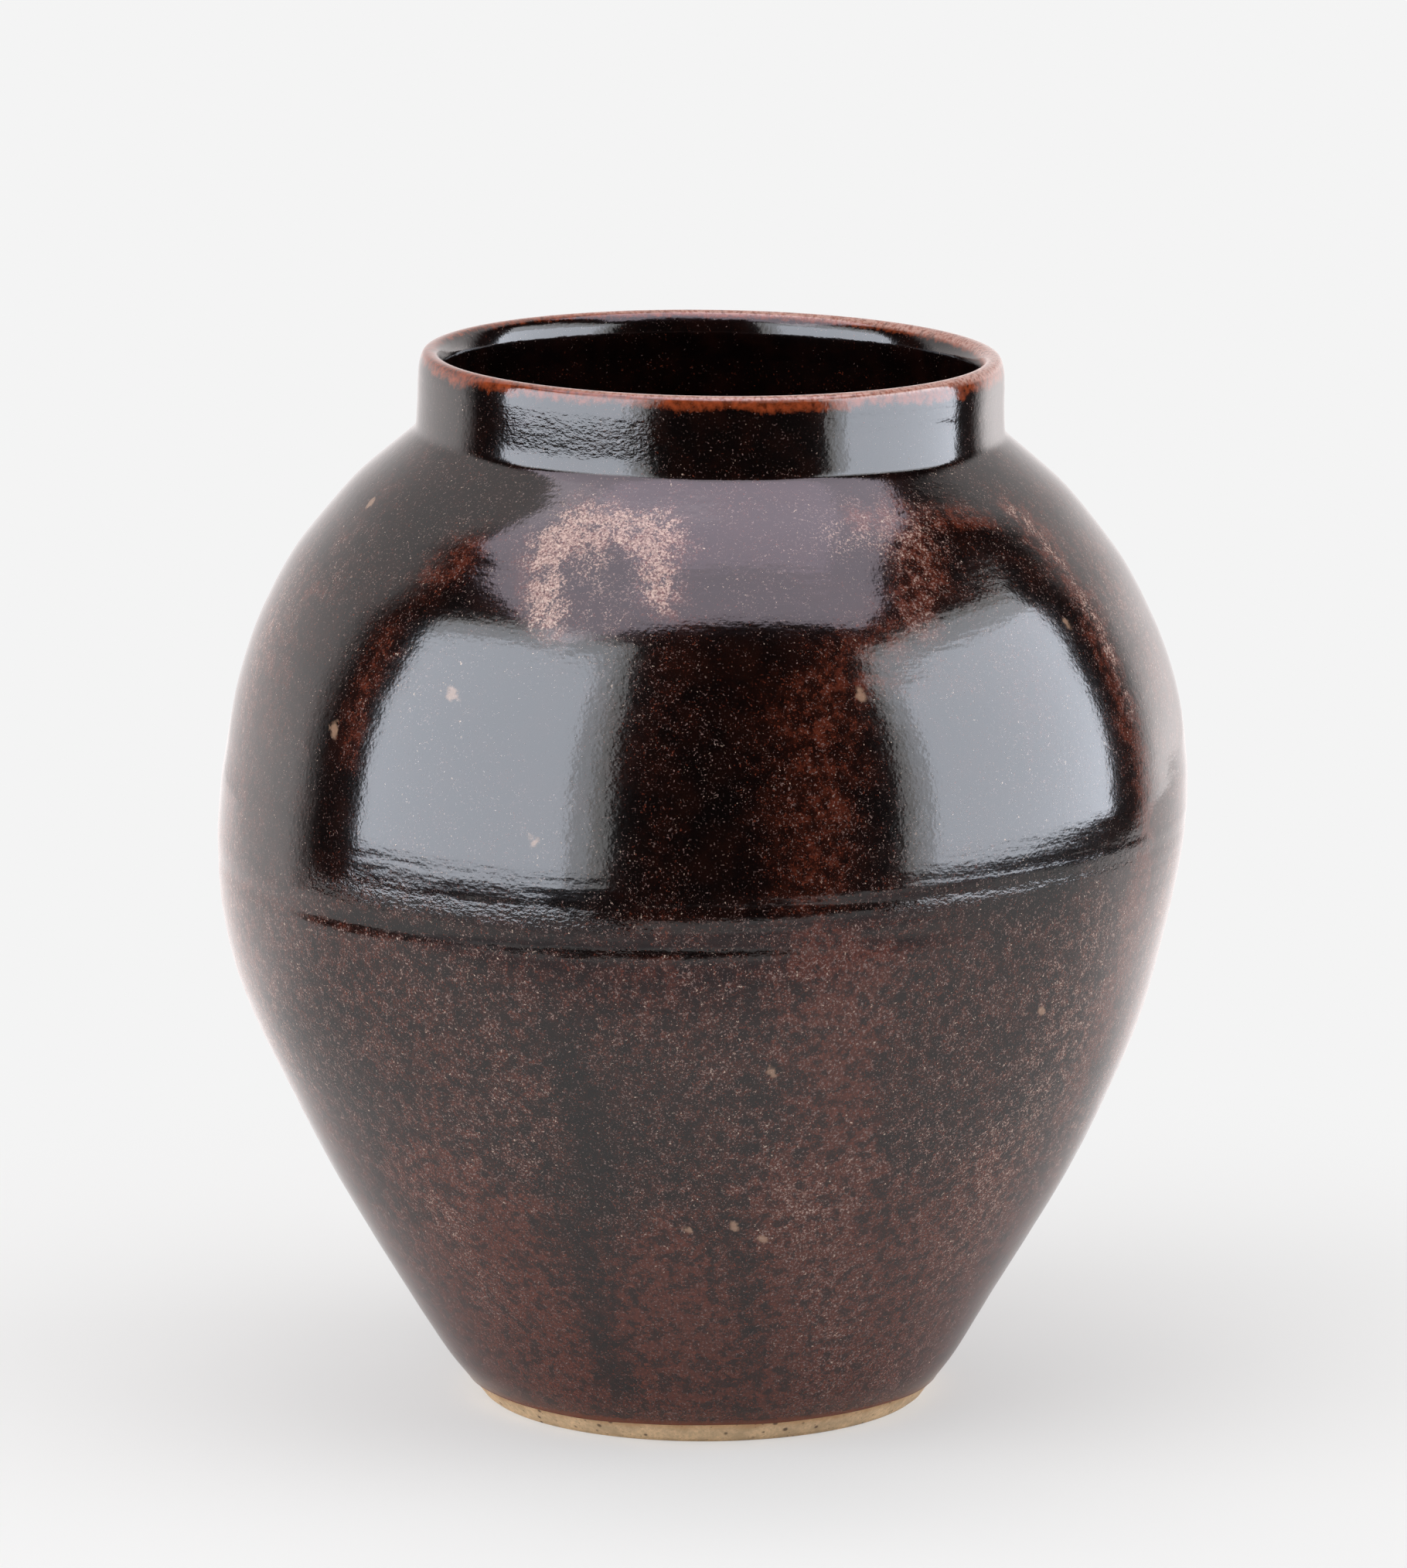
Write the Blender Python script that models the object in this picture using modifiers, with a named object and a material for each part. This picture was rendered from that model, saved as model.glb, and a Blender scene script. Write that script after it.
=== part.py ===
"""Wheel-thrown stoneware jar with a short collar, a round belly and an iron glaze.

The clay is three thrown sections that are luted together with slip: a lower bowl
with the turned foot, an upper ring that makes the shoulder, and a collar with the
lip.  A glaze coat lies outside, from above the foot over the lip, and a liner coat
lies inside.  Every section is a profile turned round the axis, then shifted a
little by height, because the jar was thrown by hand and leans in and out.

Metres, +Z up.  The origin is on the surface the jar stands on, at the foot's axis.
"""

import math

import bpy
import numpy as np

# Clay sizes
FOOT_RADIUS = 0.0545          # the ring that the jar stands on, at its outer edge
BELLY_RADIUS = 0.1181         # widest part of the clay
BELLY_HEIGHT = 0.1460         # height of the widest part
SHOULDER_HEIGHT = 0.0950      # from the widest part up to the collar's root
NECK_RADIUS = 0.0706          # outside of the collar
COLLAR_HEIGHT = 0.0184        # from the collar's root to the top of the clay lip
BELLY_JOINT_DROP = 0.0065     # the belly joint lies this far under the widest part
COLLAR_JOINT_RISE = 0.0012    # the collar joint lies this far over the root
ROOT_FILLET = 0.0018          # how softly the shoulder runs into the collar
FILLET_RISE = 0.0045          # the collar is straight from this far over its joint

# Wall
FLOOR_THICKNESS = 0.0080
WALL_AT_FLOOR = 0.0075
WALL_AT_BELLY = 0.0062
WALL_AT_NECK = 0.0046
LIP_THICKNESS = 0.0035
LIP_OUTER_ROUND = 0.0013
LIP_INNER_ROUND = 0.0009

# Foot
FOOT_EDGE_ROUND = 0.0008
FOOT_RING_WIDTH = 0.0090      # width of the ring that the jar stands on
RECESS_DEPTH = 0.0030         # turned recess inside the ring
RECESS_SLOPE = 0.0020         # its side leans in by this much
CLAY_BAND_HEIGHT = 0.0055     # bare clay between the table and the glaze edge

# Floor inside
FLOOR_FLAT_RADIUS = 0.0260    # flat middle of the floor inside
FLOOR_CURVE_HEIGHT = 0.0240   # height over which the floor curves into the wall
FLOOR_CURVE_SHARES = (0.55, 0.45)   # how far the curve follows the floor and the wall

# Glaze
GLAZE_THICKNESS = 0.0008
GLAZE_AT_LIP = 0.00045        # the glaze thins where it runs off the lip
GLAZE_AT_EDGE = 0.00035       # and at its edge over the foot
GLAZE_TAPER = 0.0080          # length over which it thickens from an edge
LINER_THICKNESS = 0.0006
SEAM_DEPTH = 0.0110           # the coats meet this far under the top of the lip
SEAM_GAP = 0.0004
CLEARANCE = 0.0003            # between a coat and the clay

# Luted joints
SLIP_FILM = 0.0004
TONGUE_WIDTH_SHARE = 0.50     # of the wall at the joint
TONGUE_HEIGHT = 0.0012

# Hand-thrown wander of the axis and tilt of the rim
WANDER = 0.0020               # sideways shift of a ring's centre
RIM_TILT = 0.0009             # the rim is this much higher at one side
WANDER_SHARES = (             # height up the clay, sideways shift
    (0.00, 0.00), (0.12, -0.35), (0.24, -0.30), (0.35, -0.60), (0.45, -1.00),
    (0.54, -0.40), (0.62, 0.30), (0.72, 0.50), (0.86, 0.70), (1.00, 1.00),
)
TILT_START_SHARE = 0.40       # the tilt grows from here to the collar's root

# Outside of the clay, as shares of the heights and radii it runs between
LOWER_CURVE_SHARES = (        # height from foot to belly, radius from foot to belly
    (0.000, 0.000), (0.068, 0.112), (0.137, 0.211), (0.240, 0.354), (0.342, 0.491),
    (0.445, 0.620), (0.548, 0.734), (0.651, 0.838), (0.753, 0.917), (0.856, 0.970),
    (1.000, 1.000),
)
UPPER_CURVE_SHARES = (        # height from belly to root, drop from belly to collar
    (0.147, 0.016), (0.305, 0.063), (0.463, 0.159), (0.568, 0.252), (0.674, 0.372),
    (0.779, 0.536), (0.863, 0.690), (0.926, 0.838), (0.968, 0.942), (1.000, 1.022),
    (1.100, 1.240),           # the shoulder's own line, carried on inside the collar
)

# Mesh
TURN_STEPS = 48
LOWER_STATIONS = 10
UPPER_STATIONS = 11
UPPER_SPACING_POWER = 1.4     # stations crowd towards the collar's root
FLOOR_STATIONS = 5
ARC_STATIONS = 3
AXIS_MERGE = 0.00005
SHARP_ANGLE = math.radians(40.0)

ROOT_HEIGHT = BELLY_HEIGHT + SHOULDER_HEIGHT
CLAY_TOP = ROOT_HEIGHT + COLLAR_HEIGHT
BELLY_JOINT = BELLY_HEIGHT - BELLY_JOINT_DROP
COLLAR_JOINT = ROOT_HEIGHT + COLLAR_JOINT_RISE
SEAM_HEIGHT = CLAY_TOP - SEAM_DEPTH

CLAY_COLOUR = (0.58, 0.40, 0.24, 1.0)
CLAY_ROUGHNESS = 0.85
GLAZE_COLOUR = (0.030, 0.010, 0.007, 1.0)
GLAZE_ROUGHNESS = 0.12
LINER_COLOUR = (0.022, 0.009, 0.007, 1.0)
LINER_ROUGHNESS = 0.15


def clear_scene():
    """Remove every object that the file opened with."""
    for thing in list(bpy.data.objects):
        bpy.data.objects.remove(thing, do_unlink=True)


def smooth_curve(knots, wanted):
    """Natural cubic spline through (x, y) knots, read at the wanted x values."""
    x, y = np.array(knots, dtype=float).T
    span = np.diff(x)
    slope = np.diff(y) / span
    count = len(x)
    system = np.eye(count)
    right = np.zeros(count)
    for i in range(1, count - 1):
        system[i, i - 1:i + 2] = span[i - 1], 2 * (span[i - 1] + span[i]), span[i]
        right[i] = 6 * (slope[i] - slope[i - 1])
    bend = np.linalg.solve(system, right)
    wanted = np.clip(np.asarray(wanted, dtype=float), x[0], x[-1])
    i = np.clip(np.searchsorted(x, wanted) - 1, 0, count - 2)
    left, rest = wanted - x[i], x[i + 1] - wanted
    curve = (bend[i] * rest ** 3 + bend[i + 1] * left ** 3) / (6 * span[i])
    curve += (y[i] / span[i] - bend[i] * span[i] / 6) * rest
    return curve + (y[i + 1] / span[i] - bend[i + 1] * span[i] / 6) * left


def clay_knots():
    """Heights and radii of the points that the outside of the body runs through."""
    low = np.array(LOWER_CURVE_SHARES) * (BELLY_HEIGHT, BELLY_RADIUS - FOOT_RADIUS)
    high = np.array(UPPER_CURVE_SHARES) * (SHOULDER_HEIGHT, NECK_RADIUS - BELLY_RADIUS)
    return np.vstack((low + (0.0, FOOT_RADIUS), high + (BELLY_HEIGHT, BELLY_RADIUS)))


def clay_radius(height):
    """Outside radius of the clay: the body's curve, which blends softly into the collar above."""
    body = smooth_curve(clay_knots(), height)
    over = body - NECK_RADIUS
    into_collar = NECK_RADIUS + (over + np.sqrt(over ** 2 + ROOT_FILLET ** 2)) / 2
    return np.where(height > BELLY_HEIGHT, into_collar, body)


def wall_thickness(height):
    """Clay wall at a height, thinning from the floor up to the collar."""
    heights = (CLAY_BAND_HEIGHT, BELLY_HEIGHT, ROOT_HEIGHT)
    return np.interp(height, heights, (WALL_AT_FLOOR, WALL_AT_BELLY, WALL_AT_NECK))


def line_normals(line):
    """Normals of an open polyline, to its left, stretched so an offset keeps its gap."""
    step = np.diff(line, axis=0)
    step /= np.linalg.norm(step, axis=1)[:, None]
    side = np.column_stack((-step[:, 1], step[:, 0]))
    before = np.vstack((side[:1], side))
    after = np.vstack((side, side[-1:]))
    mid = before + after
    mid /= np.linalg.norm(mid, axis=1)[:, None]
    return mid / np.sum(mid * after, axis=1)[:, None]


def offset(line, distance):
    """Move a polyline to its left by a distance, one for all points or one for each."""
    distance = np.broadcast_to(distance, len(line))
    return line + line_normals(line) * distance[:, None]


def arc(centre, radius, start, end, count):
    """Points along a circular arc, angles in degrees from the outward direction."""
    turn = np.radians(np.linspace(start, end, count))
    return np.column_stack((centre[0] + radius * np.cos(turn), centre[1] + radius * np.sin(turn)))


def lower_heights():
    """Heights of the outer points of the lower section, top to bottom."""
    return np.linspace(BELLY_JOINT, CLAY_BAND_HEIGHT, LOWER_STATIONS)


def upper_heights():
    """Heights of the outer points of the upper section, top to bottom."""
    share = np.linspace(0.0, 1.0, UPPER_STATIONS)
    rise = 1 - (1 - share) ** UPPER_SPACING_POWER
    return (BELLY_JOINT + SLIP_FILM + (COLLAR_JOINT - BELLY_JOINT - SLIP_FILM) * rise)[::-1]


def shell_line(heights):
    """Outer points of the clay at heights, as rows of radius and height."""
    return np.column_stack((clay_radius(heights), heights))


def wall_inside(line):
    """Inner points of the clay wall that lie square across from outer points."""
    return offset(line, wall_thickness(line[:, 1]) * -1)


def lip_outer():
    """Outer points of the collar, from the crest of the lip down to the joint."""
    centre = (NECK_RADIUS - LIP_OUTER_ROUND, CLAY_TOP - LIP_OUTER_ROUND)
    round_over = arc(centre, LIP_OUTER_ROUND, 90, 0, ARC_STATIONS + 1)
    wall = shell_line(np.array((COLLAR_JOINT + FILLET_RISE, COLLAR_JOINT + SLIP_FILM)))
    return np.vstack((round_over, wall))


def lip_inner():
    """Inner points of the collar, from the joint up to the crest of the lip."""
    inside = NECK_RADIUS - LIP_THICKNESS
    centre = (inside + LIP_INNER_ROUND, CLAY_TOP - LIP_INNER_ROUND)
    round_over = arc(centre, LIP_INNER_ROUND, 180, 90, ARC_STATIONS)
    joint = (NECK_RADIUS - WALL_AT_NECK, COLLAR_JOINT + SLIP_FILM)
    share = (SEAM_HEIGHT - joint[1]) / (round_over[0, 1] - joint[1])
    seam = (joint[0] + (round_over[0, 0] - joint[0]) * share, SEAM_HEIGHT)
    return np.vstack(((joint, seam), round_over))


def floor_curve(wall_point, wall_direction):
    """Inner floor, from the wall down to the flat middle, along a cubic curve."""
    floor = RECESS_DEPTH + FLOOR_THICKNESS
    flat = np.array((FLOOR_FLAT_RADIUS, floor))
    reach = np.linalg.norm(wall_point - flat)
    along_floor = flat + np.array((FLOOR_CURVE_SHARES[0] * reach, 0.0))
    along_wall = wall_point - wall_direction * FLOOR_CURVE_SHARES[1] * reach
    t = np.linspace(0.0, 1.0, FLOOR_STATIONS + 1)[1:, None]
    curve = (1 - t) ** 3 * wall_point + 3 * (1 - t) ** 2 * t * along_wall
    return curve + 3 * (1 - t) * t ** 2 * along_floor + t ** 3 * flat


def lower_inside():
    """Inner points of the lower section, from its top edge down to the axis."""
    wall = wall_inside(shell_line(lower_heights()))
    wall = wall[wall[:, 1] > RECESS_DEPTH + FLOOR_THICKNESS + FLOOR_CURVE_HEIGHT]
    wall[0, 1] = BELLY_JOINT
    rise = wall[-2] - wall[-1]
    rise /= np.linalg.norm(rise)
    middle = np.array([(0.0, RECESS_DEPTH + FLOOR_THICKNESS)])
    return np.vstack((wall, floor_curve(wall[-1], rise), middle))


def upper_inside():
    """Inner points of the upper section, from the collar joint to the belly joint."""
    heights = upper_heights()
    wall = wall_inside(shell_line(heights))
    wall[0] = (NECK_RADIUS - WALL_AT_NECK, COLLAR_JOINT)
    wall[-1, 1] = BELLY_JOINT + SLIP_FILM
    return wall


def tongue(outer, inner, sink):
    """V across a joint from its outer to its inner point, sunk below by sink."""
    middle = (outer + inner) / 2
    half = (outer - inner) / 2 * TONGUE_WIDTH_SHARE
    tip = middle - np.array((0.0, sink))
    return np.vstack((middle + half, tip, middle - half))


def foot_points():
    """Underside of the foot, from the bare band to the axis in the recess."""
    centre = (FOOT_RADIUS - FOOT_EDGE_ROUND, FOOT_EDGE_ROUND)
    edge = arc(centre, FOOT_EDGE_ROUND, 0, -90, ARC_STATIONS)
    ring_inside = FOOT_RADIUS - FOOT_RING_WIDTH
    recess = np.array((
        (ring_inside, 0.0),
        (ring_inside - RECESS_SLOPE, RECESS_DEPTH),
        (0.0, RECESS_DEPTH),
    ))
    return np.vstack((edge, recess))


def lower_body_profile():
    """Floor's middle, up the inner wall, across the groove, down the outside."""
    inside = lower_inside()[::-1]
    outside = shell_line(lower_heights())
    groove = tongue(outside[0], inside[-1], TONGUE_HEIGHT)[::-1]
    return np.vstack((inside, groove, outside, foot_points()))


def upper_body_profile():
    """Down the outside, across the tongue, up the inside, across the collar groove."""
    outside = shell_line(upper_heights())
    inside = upper_inside()[::-1]
    lower_tongue = tongue(outside[-1], inside[0], TONGUE_HEIGHT)
    collar_groove = tongue(outside[0], inside[-1], TONGUE_HEIGHT)[::-1]
    return np.vstack((outside, lower_tongue, inside, collar_groove))


def collar_profile():
    """Down the outside of the collar, across its tongue and up the inside."""
    outside = lip_outer()
    inside = lip_inner()
    return np.vstack((outside, tongue(outside[-1], inside[0], TONGUE_HEIGHT), inside))


def outer_skin():
    """Clay surface under the outer coat, from the seam over the lip to its edge."""
    inner_lip = lip_inner()[1:]
    collar = lip_outer()[:-1]
    shoulder = shell_line(upper_heights())[:-1]
    return np.vstack((inner_lip, collar, shoulder, shell_line(lower_heights())))


def run_length(line):
    """Distance along a polyline from its first point to each of its points."""
    return np.concatenate(([0.0], np.cumsum(np.linalg.norm(np.diff(line, axis=0), axis=1))))


def outer_glaze_profile():
    """Closed ring section: down the outside of the coat, back up along the clay."""
    skin = outer_skin()
    length = run_length(skin)
    crest = length[np.argmax(skin[:, 1])]
    from_lip = np.clip(np.abs(length - crest) / GLAZE_TAPER, 0.0, 1.0)
    from_edge = np.clip((length[-1] - length) / GLAZE_TAPER, 0.0, 1.0)
    thick = GLAZE_AT_LIP + (GLAZE_THICKNESS - GLAZE_AT_LIP) * from_lip
    thick = GLAZE_AT_EDGE + (thick - GLAZE_AT_EDGE) * from_edge
    outside = offset(skin, CLEARANCE + thick)
    under = offset(skin, CLEARANCE)
    return np.vstack((outside, under[::-1]))


def liner_skin():
    """Clay surface under the liner, from the seam down to the middle of the floor."""
    seam = lip_inner()[1:2] - (0.0, SEAM_GAP)
    return np.vstack((seam, upper_inside()[:-1], lower_inside()))


def liner_profile():
    """Up the inside of the liner from the floor, then down along the clay."""
    skin = liner_skin()
    inside = offset(skin, (CLEARANCE + LINER_THICKNESS) * -1)
    under = offset(skin, CLEARANCE * -1)
    inside[-1, 0] = 0.0
    under[-1, 0] = 0.0
    return np.vstack((inside[::-1], under))


def wander(points):
    """Shift the rings sideways by height and tilt the shoulder and the rim."""
    share = np.clip(points[:, 2] / CLAY_TOP, 0.0, 1.0)
    grow = np.clip((share - TILT_START_SHARE) / (ROOT_HEIGHT / CLAY_TOP - TILT_START_SHARE), 0.0, 1.0)
    grow = grow * grow * (3 - 2 * grow)
    points[:, 2] -= points[:, 0] / NECK_RADIUS * RIM_TILT * grow
    points[:, 0] += WANDER * smooth_curve(WANDER_SHARES, share)
    return points


def material(name, colour, roughness):
    """Principled material with one colour and roughness, not metallic."""
    made = bpy.data.materials.new(name)
    made.use_nodes = True
    shader = made.node_tree.nodes["Principled BSDF"]
    shader.inputs["Base Color"].default_value = colour
    shader.inputs["Roughness"].default_value = roughness
    shader.inputs["Metallic"].default_value = 0.0
    made.diffuse_color = colour
    return made


def turned(name, profile, closed, finish, group):
    """Turn a profile round the axis, let it wander, and put it in the collection."""
    outline = bpy.data.meshes.new(name + "_outline")
    corners = [(radius, 0.0, height) for radius, height in profile.tolist()]
    edges = [(i, i + 1) for i in range(len(corners) - 1)]
    if closed:
        edges.append((len(corners) - 1, 0))
    outline.from_pydata(corners, edges, [])
    guide = bpy.data.objects.new(name + "_outline", outline)
    group.objects.link(guide)
    screw = guide.modifiers.new("turn", "SCREW")
    screw.axis = "Z"
    screw.angle = math.tau
    screw.steps = TURN_STEPS
    screw.render_steps = TURN_STEPS
    screw.use_merge_vertices = True
    screw.merge_threshold = AXIS_MERGE
    screw.use_smooth_shade = True

    bpy.context.view_layer.update()
    solid = bpy.data.meshes.new_from_object(guide.evaluated_get(bpy.context.evaluated_depsgraph_get()))
    bpy.data.objects.remove(guide, do_unlink=True)
    bpy.data.meshes.remove(outline)
    solid.name = name

    places = np.empty(len(solid.vertices) * 3)
    solid.vertices.foreach_get("co", places)
    solid.vertices.foreach_set("co", wander(places.reshape(-1, 3)).ravel())
    solid.materials.clear()
    solid.materials.append(finish)
    solid.shade_smooth()
    solid.set_sharp_from_angle(angle=SHARP_ANGLE)
    solid.update()

    piece = bpy.data.objects.new(name, solid)
    group.objects.link(piece)
    return piece


def build():
    """Make the jar's five pieces in their own collection."""
    clear_scene()
    jar = bpy.data.collections.new("stoneware_jar")
    bpy.context.scene.collection.children.link(jar)
    clay = material("stoneware_clay", CLAY_COLOUR, CLAY_ROUGHNESS)
    glaze = material("iron_glaze", GLAZE_COLOUR, GLAZE_ROUGHNESS)
    liner = material("liner_glaze", LINER_COLOUR, LINER_ROUGHNESS)
    turned("lower_body", lower_body_profile(), False, clay, jar)
    turned("upper_body", upper_body_profile(), True, clay, jar)
    turned("neck_collar", collar_profile(), True, clay, jar)
    turned("outer_glaze", outer_glaze_profile(), True, glaze, jar)
    turned("liner_glaze", liner_profile(), False, liner, jar)


build()
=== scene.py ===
"""Looks of a wheel-thrown stoneware jar with an iron glaze, and the studio it stands in.

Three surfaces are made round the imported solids: the glaze coat outside, the glaze
liner inside, and the bowl with its bare clay foot.  Each is a profile turned round
the axis, with the ridges, waves and wander of hand throwing.

Metres, +Z up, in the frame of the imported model.  An azimuth is in degrees from -Y,
where the camera stands, towards +X.
"""

import math

import bpy
import numpy as np
from bpy.props import FloatProperty, FloatVectorProperty, IntProperty, PointerProperty
from mathutils import Matrix


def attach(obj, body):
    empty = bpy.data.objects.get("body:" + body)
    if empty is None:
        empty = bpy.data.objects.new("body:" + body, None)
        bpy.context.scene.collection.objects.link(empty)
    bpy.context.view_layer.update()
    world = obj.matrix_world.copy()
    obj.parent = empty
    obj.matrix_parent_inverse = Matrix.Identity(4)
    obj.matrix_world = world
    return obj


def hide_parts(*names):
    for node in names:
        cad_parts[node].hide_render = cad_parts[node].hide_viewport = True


bl_info = {
    "name": "Stoneware jar",
    "version": (1, 0, 0),
    "blender": (4, 5, 0),
    "location": "3D View > Sidebar > Jar",
    "description": "Glaze, clay foot and studio of a wheel-thrown stoneware jar",
    "category": "Object",
}

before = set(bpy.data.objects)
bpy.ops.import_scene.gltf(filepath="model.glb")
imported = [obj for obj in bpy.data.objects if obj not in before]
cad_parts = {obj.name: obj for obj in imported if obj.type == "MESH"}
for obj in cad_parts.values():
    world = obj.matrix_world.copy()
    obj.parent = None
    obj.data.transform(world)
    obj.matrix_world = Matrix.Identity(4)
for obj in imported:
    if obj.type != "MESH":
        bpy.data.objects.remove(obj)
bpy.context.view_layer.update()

# Outside of the clay, as shares of the heights and radii it runs between
LOWER_CURVE_SHARES = (        # height from foot to belly, radius from foot to belly
    (0.000, 0.000), (0.068, 0.112), (0.137, 0.211), (0.240, 0.354), (0.342, 0.491),
    (0.445, 0.620), (0.548, 0.734), (0.651, 0.838), (0.753, 0.917), (0.856, 0.970),
    (1.000, 1.000),
)
UPPER_CURVE_SHARES = (        # height from belly to root, drop from belly to collar
    (0.147, 0.016), (0.305, 0.063), (0.463, 0.159), (0.568, 0.252), (0.674, 0.372),
    (0.779, 0.536), (0.863, 0.690), (0.926, 0.838), (0.968, 0.942), (1.000, 1.022),
    (1.100, 1.240),           # the shoulder's own line, carried on inside the collar
)
WANDER_SHARES = (             # height up the clay, sideways shift
    (0.00, 0.00), (0.12, -0.35), (0.24, -0.30), (0.35, -0.60), (0.45, -1.00),
    (0.54, -0.40), (0.62, 0.30), (0.72, 0.50), (0.86, 0.70), (1.00, 1.00),
)
TILT_START_SHARE = 0.40       # the rim's tilt grows from here to the collar's root
FLOOR_CURVE_SHARES = (0.55, 0.45)     # handles of the inner curve: on the floor, on the wall
TONGUE_WIDTH_SHARE = 0.50     # width of the joint's groove, as a share of the wall

# Lip of the glaze, from the seam in the mouth to the outside of the collar
LIP_POINTS = (                # in from the collar's outside, down from the top
    (0.00650, 0.01175), (0.00666, 0.00920), (0.00675, 0.00750), (0.00678, 0.00630),
    (0.00677, 0.00550), (0.00673, 0.00490), (0.00664, 0.00430), (0.00649, 0.00370),
    (0.00627, 0.00310), (0.00604, 0.00260), (0.00576, 0.00210), (0.00540, 0.00150),
    (0.00498, 0.00092), (0.00443, 0.00042),
    (0.00385, 0.00014), (0.00300, 0.00000), (0.00197, 0.00011), (0.00140, 0.00036),
    (0.00095, 0.00095), (0.00060, 0.00185), (0.00030, 0.00310), (0.00010, 0.00450),
    (0.00000, 0.00650),
)
LIP_STATIONS = 50
MOUTH_STATIONS = LIP_STATIONS // 2    # those that lie inside the mouth

SHARP_ANGLE = math.radians(50.0)      # the shading breaks where faces meet at more than this

# Ridges and grooves left by the fingers
RIDGES = (                    # height, half width, rise, azimuth, power: the larger, the shorter
    (0.1368, 0.0026, -0.00038, -18.0, 3.0),
    (0.1415, 0.0009, -0.00006, 45.0, 3.0),
    (0.1462, 0.0010, -0.00008, 38.0, 3.0),
    (0.1500, 0.0012, 0.00007, 45.0, 3.0),
    (0.1560, 0.0032, 0.00016, -95.0, 10.0),
    (0.1585, 0.0032, 0.00008, 95.0, 10.0),
    (0.1020, 0.0015, -0.00005, 160.0, 1.0),
    (0.1800, 0.0018, 0.00006, 150.0, 1.5),
)
THROWING_WAVES = (            # pitch, rise, turns of phase round the jar
    (0.0450, 0.00006, 1.0), (0.0170, 0.00002, 1.0), (0.0085, 0.000012, 2.0),
)
LUMP_SIZES = ((0.0600, 0.00004), (0.0220, 0.000016))   # size, rise
RIDGE_CLIMB = 0.0006          # how far a ridge climbs and falls on its way round
LEAN_AZIMUTH = 36.0           # side where the collar leans in, how far round, and how much
LEAN_REACH = 24.0
LEAN_DEPTH = 0.00036
LEAN_TOP_DROP = 0.0050        # the lean ends this far under the top of the clay
EDGE_WAVES = (                # waves of the glaze's lower edge: number round, phase, share
    (3, 0.6, 0.45), (7, 2.1, 0.30), (16, 0.0, 0.12),
)
FLOOR_SPIRAL = (0.0075, 0.00035)      # pitch, rise of the throwing spiral on the floor inside
RECESS_SPIRAL = (0.0040, 0.00012)     # pitch, rise of the turned spiral under the foot
LINER_LUMPS = (0.0300, 0.00006)       # size, rise
BAND_LUMPS = (0.0060, 0.00004)        # the same two for the bare band
LINER_WAVE_SHARE = 1.5        # the waves stand this many times higher inside
LINER_RISE_LIMIT = 0.00025    # nothing on the liner stands higher than this

# Distance between rings: the usual one, then closer where the shape is finer
RING_SPACING = 0.0017
FINE_RINGS = (                # from this height, to this height, distance
    (0.132, 0.162, 0.00050), (0.236, 0.2485, 0.00085),
)
EDGE_SPACING = 0.00060
LIP_SPACING = 0.00055
LINER_SPACING = 0.0021

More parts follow.
